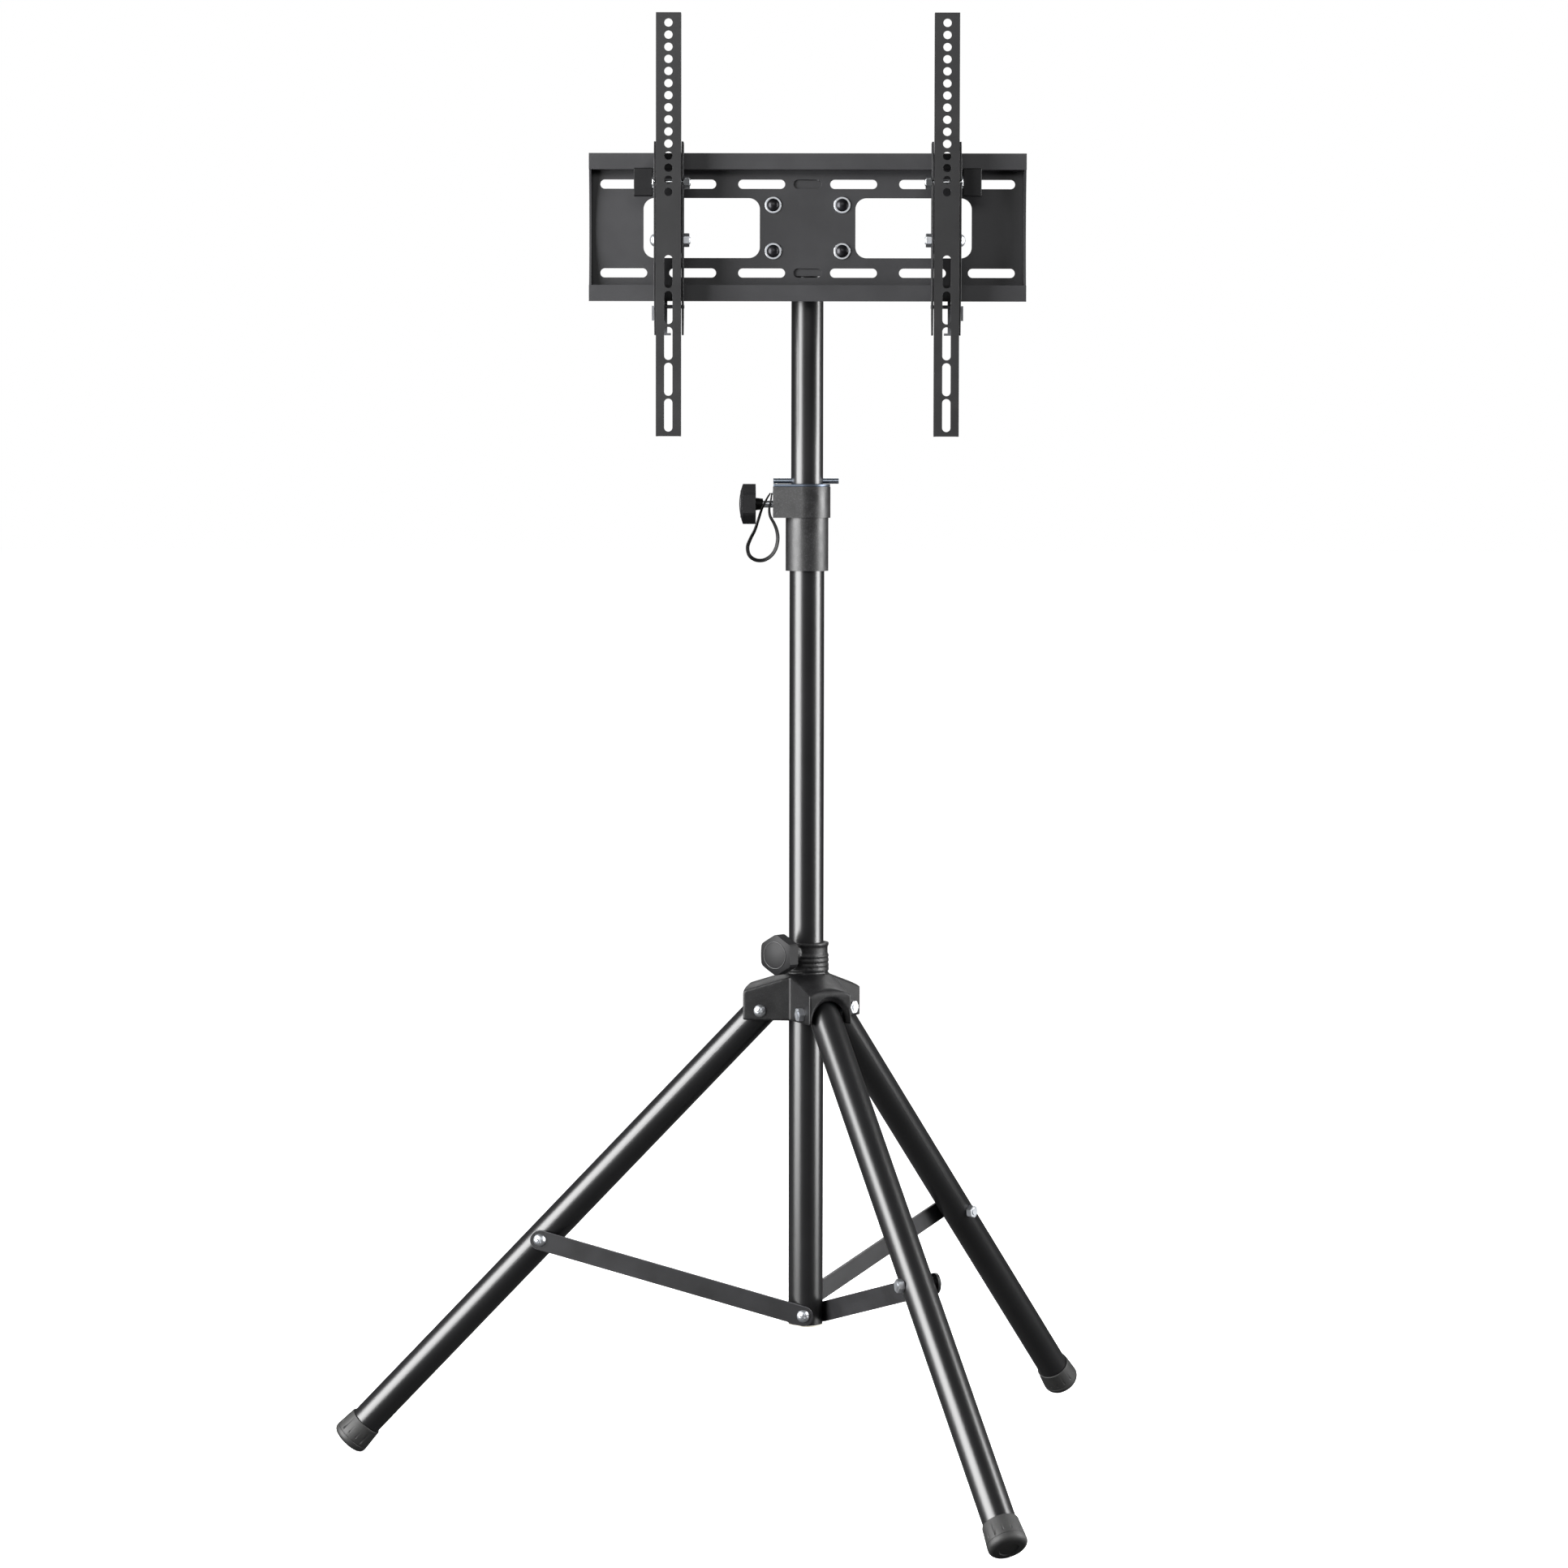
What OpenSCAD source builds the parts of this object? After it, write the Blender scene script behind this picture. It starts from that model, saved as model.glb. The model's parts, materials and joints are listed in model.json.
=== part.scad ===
// Portable three-legged floor stand for a flat screen.
// A telescoping pole rises from a folding tripod base and carries a slotted wall plate
// with two tilting arms. Origin: on the floor, under the pole's axis. +Z is up and the
// screen side faces -Y.

/* [Legs] */
// Outer diameter of a leg tube
leg_od = 35; // [28:1:38]
// Wall of a leg tube
leg_wall = 1.5; // [1:0.1:3]
// Distance from a leg's pivot to the end of its foot
leg_length = 679; // [560:1:820]
// How far the leg tube runs past its pivot, inside the hub
leg_head = 6; // [4:1:7]
// Angle between an open leg and the pole
leg_spread = 43.5; // [36:0.5:48]
// Direction of the first leg
leg_turn = 173.5; // [160:0.5:200]

/* [Feet] */
// Diameter of a foot at the floor
foot_d = 42; // [40:1:48]
// Diameter of a foot at its upper rim
foot_rim_d = 38.6; // [38:0.2:44]
// Length of a foot
foot_length = 31; // [22:1:45]
// Radius of a foot's lower edge
foot_edge = 6; // [3:0.5:8]
// Thickness of rubber under the tube
foot_floor = 5; // [3:0.5:10]
// Number of grip grooves around a foot
foot_grooves = 14; // [8:1:20]

/* [Braces] */
// Distance along the leg from its pivot to the brace bolt
brace_station = 357; // [320:1:400]
// Distance between the two bolts of a brace
brace_length = 304; // [296:1:345]
// Width of a brace bar
brace_width = 22; // [18:1:26]
// Thickness of a brace bar
brace_thick = 3; // [2:0.5:5]
// Height of the lower brace bolts above the end of the pole
brace_bolt_rise = 11; // [9:1:40]

/* [Hub] */
// Distance from the pole's axis to a leg pivot
hub_pivot_r = 48; // [46:1:56]
// Length of a hub arm from the pole's axis
hub_arm_r = 67; // [64:1:76]
// Wall beside a leg
hub_cheek = 5.5; // [4:0.5:8]
// Space between a leg tube and the wall beside it
hub_leg_gap = 2; // [1:0.5:4]
// Depth of the hub below the leg pivots
hub_drop = 10.5; // [9:0.5:16]
// Height of the hub's sleeve top above the leg pivots
hub_sleeve_top = 74.5; // [68:0.5:90]
// Height where the arms meet the sleeve, above the leg pivots
hub_shoulder = 36.5; // [34:0.5:44]
// Height of the arm's outer end above the leg pivots
hub_arm_end = 23; // [22:0.5:30]
// Wall of the hub's sleeve
hub_sleeve_wall = 4.6; // [3:0.2:8]
// Height of the hub's clamp knob above the leg pivots
hub_knob_rise = 64; // [60:0.5:70]
// Direction of the hub's clamp knob, measured from the first leg
hub_knob_turn = 60; // [50:1:70]
// How far the ribs and the lip stand proud of the hub's sleeve
hub_rib = 1.3; // [0.8:0.1:1.4]
// Width of the step round the mouth of each leg's tunnel
hub_rim_w = 2.4; // [1.6:0.2:3]
// Depth of that step
hub_rim_d = 2; // [1:0.5:3]

/* [Pole] */
// Outer diameter of the lower pole
lower_pole_od = 38; // [36.5:0.5:44]
// Wall of the lower pole
lower_pole_wall = 1.2; // [1:0.1:3]
// Length of the lower pole
lower_pole_length = 910; // [820:1:1100]
// Wall of the upper pole
upper_pole_wall = 1.5; // [1:0.1:3]
// Length of the upper pole
upper_pole_length = 868; // [760:1:900]
// Length of the upper pole above its locking pin
upper_pole_rise = 332.7; // [250:0.1:420]
// Distance between the height holes
height_pitch = 75; // [50:1:80]
// Number of height holes
height_holes = 6; // [3:1:6]

/* [Collar] */
// How far the collar stands above the lower pole
collar_rise = 13; // [10:1:20]
// Height of the collar's wide ring
collar_ring = 34; // [30:1:50]
// Length of the collar's lower sleeve
collar_sleeve = 58; // [40:1:90]
// Diameter of the wide ring
collar_ring_d = 51.2; // [50:0.2:60]
// Diameter of the lower sleeve
collar_sleeve_d = 46.8; // [44.4:0.2:49]
// Distance from the pole's axis to the face of the clamp boss
collar_boss_reach = 37.3; // [34:0.1:44]
// Width of the clamp boss
collar_boss_w = 36; // [30:1:44]
// Height of the clamp screw below the collar's top
collar_knob_drop = 19; // [16:0.5:26]
// Thickness of the wear plate under the locking pin
wear_plate_t = 3; // [1:0.5:5]

/* [Clamp knobs] */
// Diameter of a clamp knob over its corners
knob_d = 44; // [38:0.5:44]
// Thickness of the knob's head
knob_thick = 18; // [12:1:20]
// Height of the dome on the knob's face
knob_dome = 4; // [1:0.5:6]
// Diameter of the knob's neck at the head
knob_neck_d = 14; // [12:1:18]
// Length of the knob's neck
knob_neck = 8; // [5:1:14]
// Bare screw between the boss and the knob's neck
knob_standoff = 11; // [5:1:16]
// Diameter of the clamp screws
clamp_screw_d = 8; // [6:1:8]

/* [Locking pin] */
// Diameter of the locking pin
pin_d = 6; // [4:0.5:8]
// Length of the pin on the knob's side of the pole's axis
pin_reach_eye = 37; // [30:1:45]
// Length of the pin on the other side
pin_reach_tip = 34.6; // [28:0.2:45]

/* [Wall plate] */
// Width of the wall plate
plate_w = 474.5; // [400:0.5:560]
// Height of the wall plate
plate_h = 160; // [150:1:190]
// Thickness of the plate's steel
plate_t = 2.5; // [1.5:0.1:4]
// Distance from the back of the web to the front of the lips
plate_depth = 20; // [16:1:30]
// Height of the upper and lower lips
plate_lip = 15; // [10:1:20]
// Height of the plate's top above the upper pole
plate_above_pole = 22; // [18:1:40]
// How far the end flanges are hollowed in the middle
plate_end_hollow = 12; // [10:1:14]
// Length of a wall slot
wall_slot_l = 51; // [30:1:60]
// Width of a wall slot
wall_slot_w = 10; // [6:0.5:12]
// Distance between wall slots
wall_slot_pitch = 75; // [65:1:80]
// Distance between the two rows of wall slots
wall_slot_rows = 96.2; // [80:0.2:110]
// Width of a cable window
window_w = 126.5; // [60:0.5:140]
// Height of a cable window
window_h = 65; // [40:1:76]
// Corner radius of a cable window
window_r = 12; // [4:1:20]
// Distance between the inner edges of the two windows
window_gap = 104; // [100:1:140]
// Distance across between the pole screws
pole_screw_w = 75; // [50:1:80]
// Distance up between the pole screws
pole_screw_h = 50; // [40:1:60]

/* [Pole adapter] */
// Thickness of the adapter plate
adapter_t = 3.5; // [2.5:0.5:6]
// Width of the adapter plate
adapter_w = 96; // [92:1:102]
// Height of the adapter plate
adapter_h = 104; // [80:1:120]
// Width of the adapter's tongue behind the middle slots
adapter_tongue_w = 40; // [32:1:46]
// Depth of the cheeks that hold the pole
adapter_cheek = 26; // [20:1:40]

/* [Arms] */
// Distance between the two arms
arm_pitch = 300; // [260:1:340]
// Width of an arm
arm_w = 27; // [24:1:32]
// Thickness of the arm's steel
arm_t = 2; // [1.5:0.1:3]
// Length of an arm
arm_length = 455; // [400:1:520]
// Height of the arm's top above its tilt pivot
arm_above_pivot = 243.4; // [200:0.2:280]
// Depth of the arm's flanges
arm_depth = 16; // [16:1:20]
// Depth of the arm's flanges at the tilt bolts
arm_ear_depth = 26; // [24:1:28]
// Diameter of the screen holes
screen_hole_d = 9; // [6:0.5:9]
// Distance between the screen holes
screen_hole_pitch = 12.95; // [12:0.05:14]
// Number of screen holes
screen_holes = 15; // [8:1:15]
// Length of a screen slot
screen_slot_l = 35.5; // [20:0.5:36]
// Distance between screen slots
screen_slot_pitch = 38.6; // [38:0.1:40]
// Number of screen slots
screen_slots = 5; // [3:1:5]
// Distance from the arm's end to the nearest hole or slot
arm_end_margin = 5.5; // [4:0.5:12]

/* [Hook brackets and tilt] */
// Thickness of the hook bracket's steel
hook_t = 2; // [1.5:0.5:3]
// Space between an arm and its bracket
hook_side_gap = 0.4; // [0.3:0.1:1]
// Height of the hooks above the plate
hook_rise = 11; // [8:1:16]
// Drop of the bracket below the plate
hook_drop = 37; // [32:1:44]
// Depth of the hook behind the lip
hook_tip = 4.2; // [3:0.2:6]
// Distance of the tilt pivot in front of the lips
tilt_pivot_ahead = 19; // [18:1:24]
// Height of the tilt pivot below the plate's middle
tilt_pivot_drop = 15; // [10:1:20]
// Height of the tilt clamp screw above the tilt pivot
tilt_screw_rise = 62.7; // [56:0.1:66]
// Depth of the tilt clamp screw behind the tilt pivot
tilt_screw_back = 5; // [3:1:7]
// Most tilt with the arm's top to the front
tilt_forward = 12; // [5:1:12]
// Most tilt with the arm's top to the back
tilt_back = 5; // [0:1:5]
// Height of a tilt knob
tilt_knob_h = 31; // [24:1:31]
// Length of a tilt knob along its screw
tilt_knob_l = 20; // [14:1:24]
// Thickness of a tilt knob's grip
tilt_knob_t = 11; // [9:1:14]

/* [Latches] */
// Width of a latch lever
latch_w = 3.4; // [2:0.2:6]
// Length of the latch lever below its pin
latch_l = 31; // [24:1:34]
// Distance of the latch lever from the arm's middle, away from the pole
latch_offset = 3.8; // [2:0.2:5]
// Diameter of the latch pin
latch_pin_d = 4; // [3:0.5:4]

/* [Tether] */
// Width of the tether strap
strap_w = 4.4; // [3:0.2:5]
// Thickness of the tether strap
strap_t = 1.6; // [1:0.2:2]

/* [Fasteners] */
// Diameter of the leg, brace and tilt bolts
bolt_d = 8; // [6:1:8]
// Diameter of a round bolt head
bolt_head_d = 14; // [12:0.5:15]
// Height of a round bolt head
bolt_head_h = 4.6; // [3:0.2:5]
// Width of a nut across its flats
nut_flats = 13; // [12:0.5:13]
// Thickness of a nut
nut_h = 6.4; // [4:0.2:7]
// Diameter of the pole screws
pole_screw_d = 6; // [5:0.5:8]
// Diameter of a pole screw's head
pole_screw_head_d = 14.4; // [12:0.2:16]
// Diameter of a pole screw's washer
pole_washer_d = 18; // [16:0.5:19]

/* [Fits] */
// Radial clearance of a running fit
run_fit = 0.05; // [0.03:0.01:0.1]
// Clearance between the telescoping tubes
tube_fit = 0.3; // [0.3:0.1:0.5]
// Clearance between pieces that lie against each other
seat_gap = 0.3; // [0.2:0.1:0.5]

/* [Hidden] */
$fn = 64;
far = 2000;

// Radii
leg_r = leg_od / 2;
foot_r = foot_d / 2;
lower_pole_r = lower_pole_od / 2;
lower_bore_r = lower_pole_r - lower_pole_wall;
upper_pole_r = lower_bore_r - tube_fit;
upper_bore_r = upper_pole_r - upper_pole_wall;
bolt_r = bolt_d / 2;
clamp_screw_r = clamp_screw_d / 2;
pin_r = pin_d / 2;

// Base: the feet stand on the floor, and the hub, braces and pole hang from the legs
leg_end_z = foot_edge * (1 - cos(leg_spread)) + (foot_r - foot_edge) * sin(leg_spread);
leg_pivot_z = leg_length * cos(leg_spread) + leg_end_z;
brace_angle = asin((brace_station * sin(leg_spread) + hub_pivot_r) / brace_length);
brace_end_z = leg_pivot_z - brace_station * cos(leg_spread) - brace_length * cos(brace_angle);
brace_side = max(leg_r, lower_pole_r) + seat_gap + 0.1;
brace_boss_d = bolt_head_d;

// Hub
hub_bore_r = lower_pole_r + run_fit;
hub_sleeve_r = hub_bore_r + hub_sleeve_wall;
hub_core_r = hub_sleeve_r + 1.5;
hub_slot_r = leg_r + hub_leg_gap;
hub_half_w = hub_slot_r + hub_cheek;
hub_slope = atan((hub_shoulder - hub_arm_end) / (hub_arm_r - hub_sleeve_r));
hub_crown_r = 58;
hub_crown_end = hub_arm_end + 4;
hub_corner = 11;
hub_corner_z = hub_crown_end + hub_corner * (tan(hub_slope) - 1 / cos(hub_slope));
leg_rim_r = sqrt(pow(leg_r, 2) + pow(leg_head, 2));
hub_roof_slope = 30;
hub_roof_end = (leg_rim_r + 0.9) / cos(hub_roof_slope) - (hub_arm_r - hub_pivot_r) * tan(hub_roof_slope);
hub_knob_boss = 7;
hub_lip_h = 3;
hub_knob_x = hub_sleeve_r + hub_knob_boss + 3;

// Pole heights
pole_base_z = brace_end_z - brace_bolt_rise;
pole_top_z = pole_base_z + lower_pole_length;
collar_top_z = pole_top_z + collar_rise;
collar_ring_z = collar_top_z - collar_ring;
collar_base_z = collar_ring_z - collar_sleeve;
collar_knob_z = collar_top_z - collar_knob_drop;
collar_knob_x = collar_boss_reach + knob_standoff;
pin_z = collar_top_z + wear_plate_t + seat_gap + pin_r;
upper_top_z = pin_z + upper_pole_rise;
upper_base_z = upper_top_z - upper_pole_length;

// Wall plate
web_back_y = -upper_pole_r - adapter_t;
// The adapter is wide only between the two rows of slots
adapter_wide_h = wall_slot_rows - wall_slot_w - 4;
web_front_y = web_back_y - plate_t;
lip_front_y = web_back_y - plate_depth;
lip_back_y = lip_front_y + plate_t;
plate_top_z = upper_top_z + plate_above_pole;
plate_mid_z = plate_top_z - plate_h / 2;
plate_base_z = plate_top_z - plate_h;
flange_top_z = plate_top_z - plate_lip;
flange_base_z = plate_base_z + plate_lip;
end_hollow_r = (pow(plate_h / 2, 2) + pow(plate_end_hollow, 2)) / (2 * plate_end_hollow);

// Arms
tilt_y = lip_front_y - tilt_pivot_ahead;
tilt_z = plate_mid_z - tilt_pivot_drop;
arm_front_y = tilt_y - arm_depth + 1;
arm_top_z = tilt_z + arm_above_pivot;
arm_base_z = arm_top_z - arm_length;
arm_x = arm_pitch / 2;
tilt_screw_y = tilt_y + tilt_screw_back;
tilt_screw_z = tilt_z + tilt_screw_rise;
tilt_arc_r = sqrt(pow(tilt_screw_back, 2) + pow(tilt_screw_rise, 2));
tilt_arc_rest = atan(tilt_screw_back / tilt_screw_rise);
hook_inner = arm_w / 2 + hook_side_gap;
hook_outer = hook_inner + hook_t;
hook_front_y = tilt_y - 12;
hook_back_y = lip_front_y - seat_gap;
hook_ear_y = web_front_y - 6;
latch_pin_z = plate_base_z - 6;
latch_lip_gap = 1;

// Tether route: a closed loop, with both of its ends under the rivet on the boss
strap_points = [[-40.3, -9, 1072], [-44, -10, 1066], [-49, -11, 1056], [-53, -11, 1044],
    [-57, -10, 1032], [-62, -9, 1022], [-65, -8, 1013], [-63, -7, 1004], [-56, -6, 999],
    [-47, -6, 999], [-39, -7, 1004], [-34, -8, 1012], [-32, -9, 1022], [-33, -10, 1031],
    [-36, -11, 1039], [-40.3, -11.5, 1047], [-41.3, -11.3, 1055], [-39.7, -10.4, 1063.5], [-38.6, -9, 1072]];

// ---- Helpers ----------------------------------------------------------------------------

// Places its children in the plane of leg i: +X runs out along the leg, +Y to its left
module at_leg(i) rotate([0, 0, leg_turn + 120 * (i - 1)]) children();

// Places its children on one side of the stand, with +X pointing away from the pole
module at_arm(side) mirror([side < 0 ? 1 : 0, 0, 0]) translate([arm_x, 0, 0]) children();

// Draws a side outline, whose first axis is Y and second is Z, as a sheet t thick about X = 0
module side_sheet(t) translate([-t / 2, 0, 0]) rotate([90, 0, 90]) linear_extrude(t) children();

// Draws a front outline, in X and Z, as a sheet that reaches from Y = y back to y + t
module front_sheet(y, t) translate([0, y + t, 0]) rotate([90, 0, 0]) linear_extrude(t) children();

module along_x(x0, x1, r) translate([x0, 0, 0]) rotate([0, 90, 0]) cylinder(r = r, h = x1 - x0);

module along_y(y0, y1, r) translate([0, y0, 0]) rotate([-90, 0, 0]) cylinder(r = r, h = y1 - y0);

module tube(r_out, r_in, z0, z1) {
    translate([0, 0, z0]) difference() {
        cylinder(r = r_out, h = z1 - z0, $fn = 96);
        translate([0, 0, -1]) cylinder(r = r_in, h = z1 - z0 + 2, $fn = 96);
    }
}

module slot_2d(l, w) {
    square([l - w, w], center = true);
    for (s = [-1, 1]) translate([s * (l - w) / 2, 0]) circle(d = w);
}

module round_rect_2d(w, h, r) {
    square([w - 2 * r, h], center = true);
    square([w, h - 2 * r], center = true);
    for (x = [-1, 1], y = [-1, 1]) translate([x * (w / 2 - r), y * (h / 2 - r)]) circle(r = r);
}

// A bolt with a low round head above Z = 0 and its shank below
module round_bolt(d, l, head_d = bolt_head_d, head_h = bolt_head_h) {
    dome_r = (pow(head_d / 2, 2) + pow(head_h, 2)) / (2 * head_h);
    intersection() {
        translate([0, 0, head_h - dome_r]) sphere(r = dome_r, $fn = 96);
        cylinder(d = head_d, h = head_h);
    }
    translate([0, 0, -l]) cylinder(d = d, h = l + 0.5);
}

// A hexagon nut above Z = 0, for a bolt of diameter d
module hex_nut(d, flats = nut_flats, h = nut_h) difference() {
    intersection() {
        cylinder(d = flats / cos(30), h = h, $fn = 6);
        translate([0, 0, h / 2]) sphere(r = flats * 0.6, $fn = 96);
    }
    translate([0, 0, -1]) cylinder(r = d / 2 + run_fit, h = h + 2);
}

// ---- Legs and braces --------------------------------------------------------------------

// Places its children at leg i's pivot, with -Z running down the open leg
module on_leg(i) at_leg(i) translate([hub_pivot_r, 0, leg_pivot_z]) rotate([0, -leg_spread, 0])
    children();

// Places its children at leg i's brace bolt, with -Z running down the brace
module on_brace(i) on_leg(i) translate([0, 0, -brace_station])
    rotate([0, leg_spread + brace_angle, 0]) children();

module leg_tube(i) color("#1c1c1e") on_leg(i) difference() {
    union() {
        translate([0, 0, foot_floor - leg_length]) cylinder(r = leg_r,
            h = leg_length - foot_floor + leg_head, $fn = 96);
        translate([0, 0, -brace_station]) along_y(0, brace_side - run_fit, brace_boss_d / 2);
    }
    translate([0, 0, -leg_length]) cylinder(r = leg_r - leg_wall, h = leg_length + far, $fn = 96);
    for (z = [0, -brace_station]) translate([0, 0, z]) along_y(-far, far, bolt_r + run_fit);
}

module leg_foot(i) color("#262626") on_leg(i) translate([0, 0, -leg_length]) difference() {
    rotate_extrude($fn = 96) {
        polygon([[0, 0], [foot_r - foot_edge, 0], [foot_r, foot_edge],
            [foot_rim_d / 2, foot_length], [0, foot_length]]);
        intersection() {
            translate([foot_r - foot_edge, foot_edge]) circle(r = foot_edge);
            translate([foot_r - foot_edge, 0]) square(foot_edge);
        }
    }
    translate([0, 0, foot_floor]) cylinder(r = leg_r + run_fit, h = foot_length, $fn = 96);
    for (k = [0:foot_grooves - 1]) rotate([0, 0, k * 360 / foot_grooves])
        translate([foot_r + 1.2, 0, foot_length * 0.4]) cylinder(r = 1.7, h = foot_length * 0.45);
}

module brace_bolt(i) color("#d8dade") on_leg(i) translate([0, 0, -brace_station])
    translate([0, brace_side + brace_thick + run_fit, 0]) rotate([-90, 0, 0])
        round_bolt(bolt_d, brace_side + brace_thick + leg_r + nut_h + 1);

module brace_nut(i) color("#c9cbcf") on_leg(i) translate([0, -leg_r - run_fit, -brace_station])
    rotate([90, 0, 0]) hex_nut(bolt_d);

module brace_bar(i) color("#222224") on_brace(i) translate([0, brace_side + brace_thick, 0])
    rotate([90, 0, 0]) linear_extrude(brace_thick) difference() {
        translate([0, -brace_length / 2]) rotate(90) slot_2d(brace_length + brace_width, brace_width);
        for (z = [0, -brace_length]) translate([0, z]) circle(r = bolt_r + run_fit);
    }

module brace_end_bolt(i) color("#d8dade") on_brace(i) translate([0, brace_side + brace_thick, 0])
    translate([0, run_fit, -brace_length]) rotate([-90, 0, 0]) round_bolt(bolt_d, brace_thick);

// ---- Hub --------------------------------------------------------------------------------

// Side outline of a hub arm, in the distance from the pole's axis and the height over the pivot.
// It runs on below the hub, which is cut flat afterwards.
module hub_arm_outline() {
    corner = [hub_arm_r - hub_corner, hub_corner_z];
    polygon([[0, -2 * hub_drop], [hub_arm_r, -2 * hub_drop], [hub_arm_r, corner.y],
        corner + hub_corner * [sin(hub_slope), cos(hub_slope)],
        [0, hub_crown_end + hub_arm_r * tan(hub_slope)]]);
    translate(corner) circle(r = hub_corner);
}

// Places its children at the outer end of a hub arm, on a surface that falls outwards by slope
module at_arm_end(height, slope) translate([hub_arm_r, 0, height]) rotate([0, slope, 0]) children();

// Arched tunnel of half-width r, open below
module hub_tunnel(r) at_arm_end(hub_roof_end, hub_roof_slope) translate([0, 0, -hub_slot_r]) {
    along_x(-60, 30, r);
    translate([-90, -r, -80]) cube([150, 2 * r, 80]);
}

// Space that one leg swings in, with a step round its mouth
module hub_leg_space() difference() {
    union() {
        intersection() {
            hub_tunnel(hub_slot_r);
            translate([0, -hub_slot_r, -50]) cube([2 * hub_arm_r, 2 * hub_slot_r, 50 + hub_shoulder - 6]);
        }
        intersection() {
            hub_tunnel(hub_slot_r + hub_rim_w);
            translate([hub_arm_r - hub_rim_d, -hub_half_w, -50]) cube([hub_arm_r, 2 * hub_half_w, 100]);
        }
    }
    translate([0, 0, -60]) cylinder(r = hub_core_r, h = 120);
}

module hub() color("#1d1d1f") translate([0, 0, leg_pivot_z]) difference() {
    union() {
        cylinder(r = hub_core_r, h = hub_shoulder);
        cylinder(r = hub_sleeve_r, h = hub_sleeve_top);
        for (k = [0:3]) translate([0, 0, hub_shoulder + 7 + k * 5])
            cylinder(r = hub_sleeve_r + hub_rib, h = 2.4);
        translate([0, 0, hub_sleeve_top - hub_lip_h]) cylinder(r = hub_sleeve_r + hub_rib, h = hub_lip_h);
        for (i = [1:3]) at_leg(i) intersection() {
            rotate([90, 0, 0]) linear_extrude(2 * hub_half_w, center = true) hub_arm_outline();
            at_arm_end(hub_crown_end, hub_slope) translate([0, 0, -hub_crown_r])
                along_x(-2 * hub_arm_r, hub_arm_r, hub_crown_r);
        }
        rotate([0, 0, leg_turn + hub_knob_turn]) translate([0, 0, hub_knob_rise])
            along_x(0, hub_sleeve_r + hub_knob_boss, 10);
    }
    translate([0, 0, -far / 2]) cylinder(r = hub_bore_r, h = far, $fn = 96);
    translate([-far / 2, -far / 2, -hub_drop - far]) cube(far);
    for (i = [1:3]) at_leg(i) {
        hub_leg_space();
        translate([hub_pivot_r, 0, 0]) along_y(-far, far, bolt_r + run_fit);
    }
    rotate([0, 0, leg_turn + hub_knob_turn]) translate([0, 0, hub_knob_rise]) {
        along_x(0, far, clamp_screw_r + seat_gap);
        along_x(hub_sleeve_r - 2, far, 7 + run_fit);
    }
}

module hub_insert() color("#b08d4a") rotate([0, 0, leg_turn + hub_knob_turn])
    translate([0, 0, leg_pivot_z + hub_knob_rise]) difference() {
        along_x(hub_sleeve_r - 2, hub_sleeve_r + hub_knob_boss - 0.2, 7);
        along_x(0, far, clamp_screw_r + run_fit);
    }

module hub_bolts() color("#d8dade") for (i = [1:3]) at_leg(i)
    translate([hub_pivot_r, hub_half_w + run_fit, leg_pivot_z]) rotate([-90, 0, 0])
        round_bolt(bolt_d, 2 * hub_half_w + nut_h + 1);

module hub_nuts() color("#c9cbcf") for (i = [1:3]) at_leg(i)
    translate([hub_pivot_r, -hub_half_w - run_fit, leg_pivot_z]) rotate([90, 0, 0]) hex_nut(bolt_d);

// A clamp knob on a screw along +X: x0 is the neck's end, nearest the pole
module knob_head(x0) {
    head_x = x0 + knob_neck;
    face_r = (pow(knob_d / 2, 2) + pow(knob_dome, 2)) / (2 * knob_dome);
    translate([x0, 0, 0]) rotate([0, 90, 0]) difference() {
        union() {
            rotate_extrude($fn = 64) polygon([[0, 0], [clamp_screw_r + 2, 0],
                [knob_neck_d / 2, knob_neck + 0.5], [0, knob_neck + 0.5]]);
            translate([0, 0, knob_neck]) intersection() {
                cylinder(d = knob_d * 1.04, h = knob_thick, $fn = 6);
                cylinder(d = knob_d, h = knob_thick, $fn = 96);
                translate([0, 0, knob_thick - face_r]) sphere(r = face_r, $fn = 128);
            }
        }
        translate([0, 0, -1]) cylinder(r = clamp_screw_r, h = knob_neck + knob_thick / 2 + 1);
    }
}

module knob_screw(tip_x, neck_x) along_x(tip_x, neck_x + knob_neck + knob_thick / 2, clamp_screw_r);

module at_hub_knob() rotate([0, 0, leg_turn + hub_knob_turn])
    translate([0, 0, leg_pivot_z + hub_knob_rise]) children();
module hub_knob_head() color("#202022") at_hub_knob() knob_head(hub_knob_x);
module hub_knob_screw() color("#c9cbcf") at_hub_knob() knob_screw(lower_pole_r + seat_gap, hub_knob_x);

// ---- Lower pole and collar --------------------------------------------------------------

module lower_pole() color("#1c1c1e") difference() {
    tube(lower_pole_r, lower_bore_r, pole_base_z, pole_top_z);
    translate([0, 0, collar_knob_z]) along_x(-far, 0, clamp_screw_r + seat_gap);
}

module pole_end_plug() color("#262626") translate([0, 0, pole_base_z]) {
    cylinder(r = lower_bore_r - run_fit, h = 22);
    translate([0, 0, -2]) cylinder(r = lower_pole_r - 0.4, h = 2 - run_fit);
}

// Outline of the collar: a ring with a boss whose sides run tangent to it
module collar_outline(grow = 0) {
    r = collar_ring_d / 2 + grow;
    corner = [collar_boss_reach + grow, collar_boss_w / 2 + grow];
    meet = acos(r / norm(corner)) + atan(corner.y / corner.x);
    circle(r = r, $fn = 96);
    polygon([[-corner.x, corner.y], [-corner.x, -corner.y],
        [-r * cos(meet), -r * sin(meet)], [-r * cos(meet), r * sin(meet)]]);
}

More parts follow.
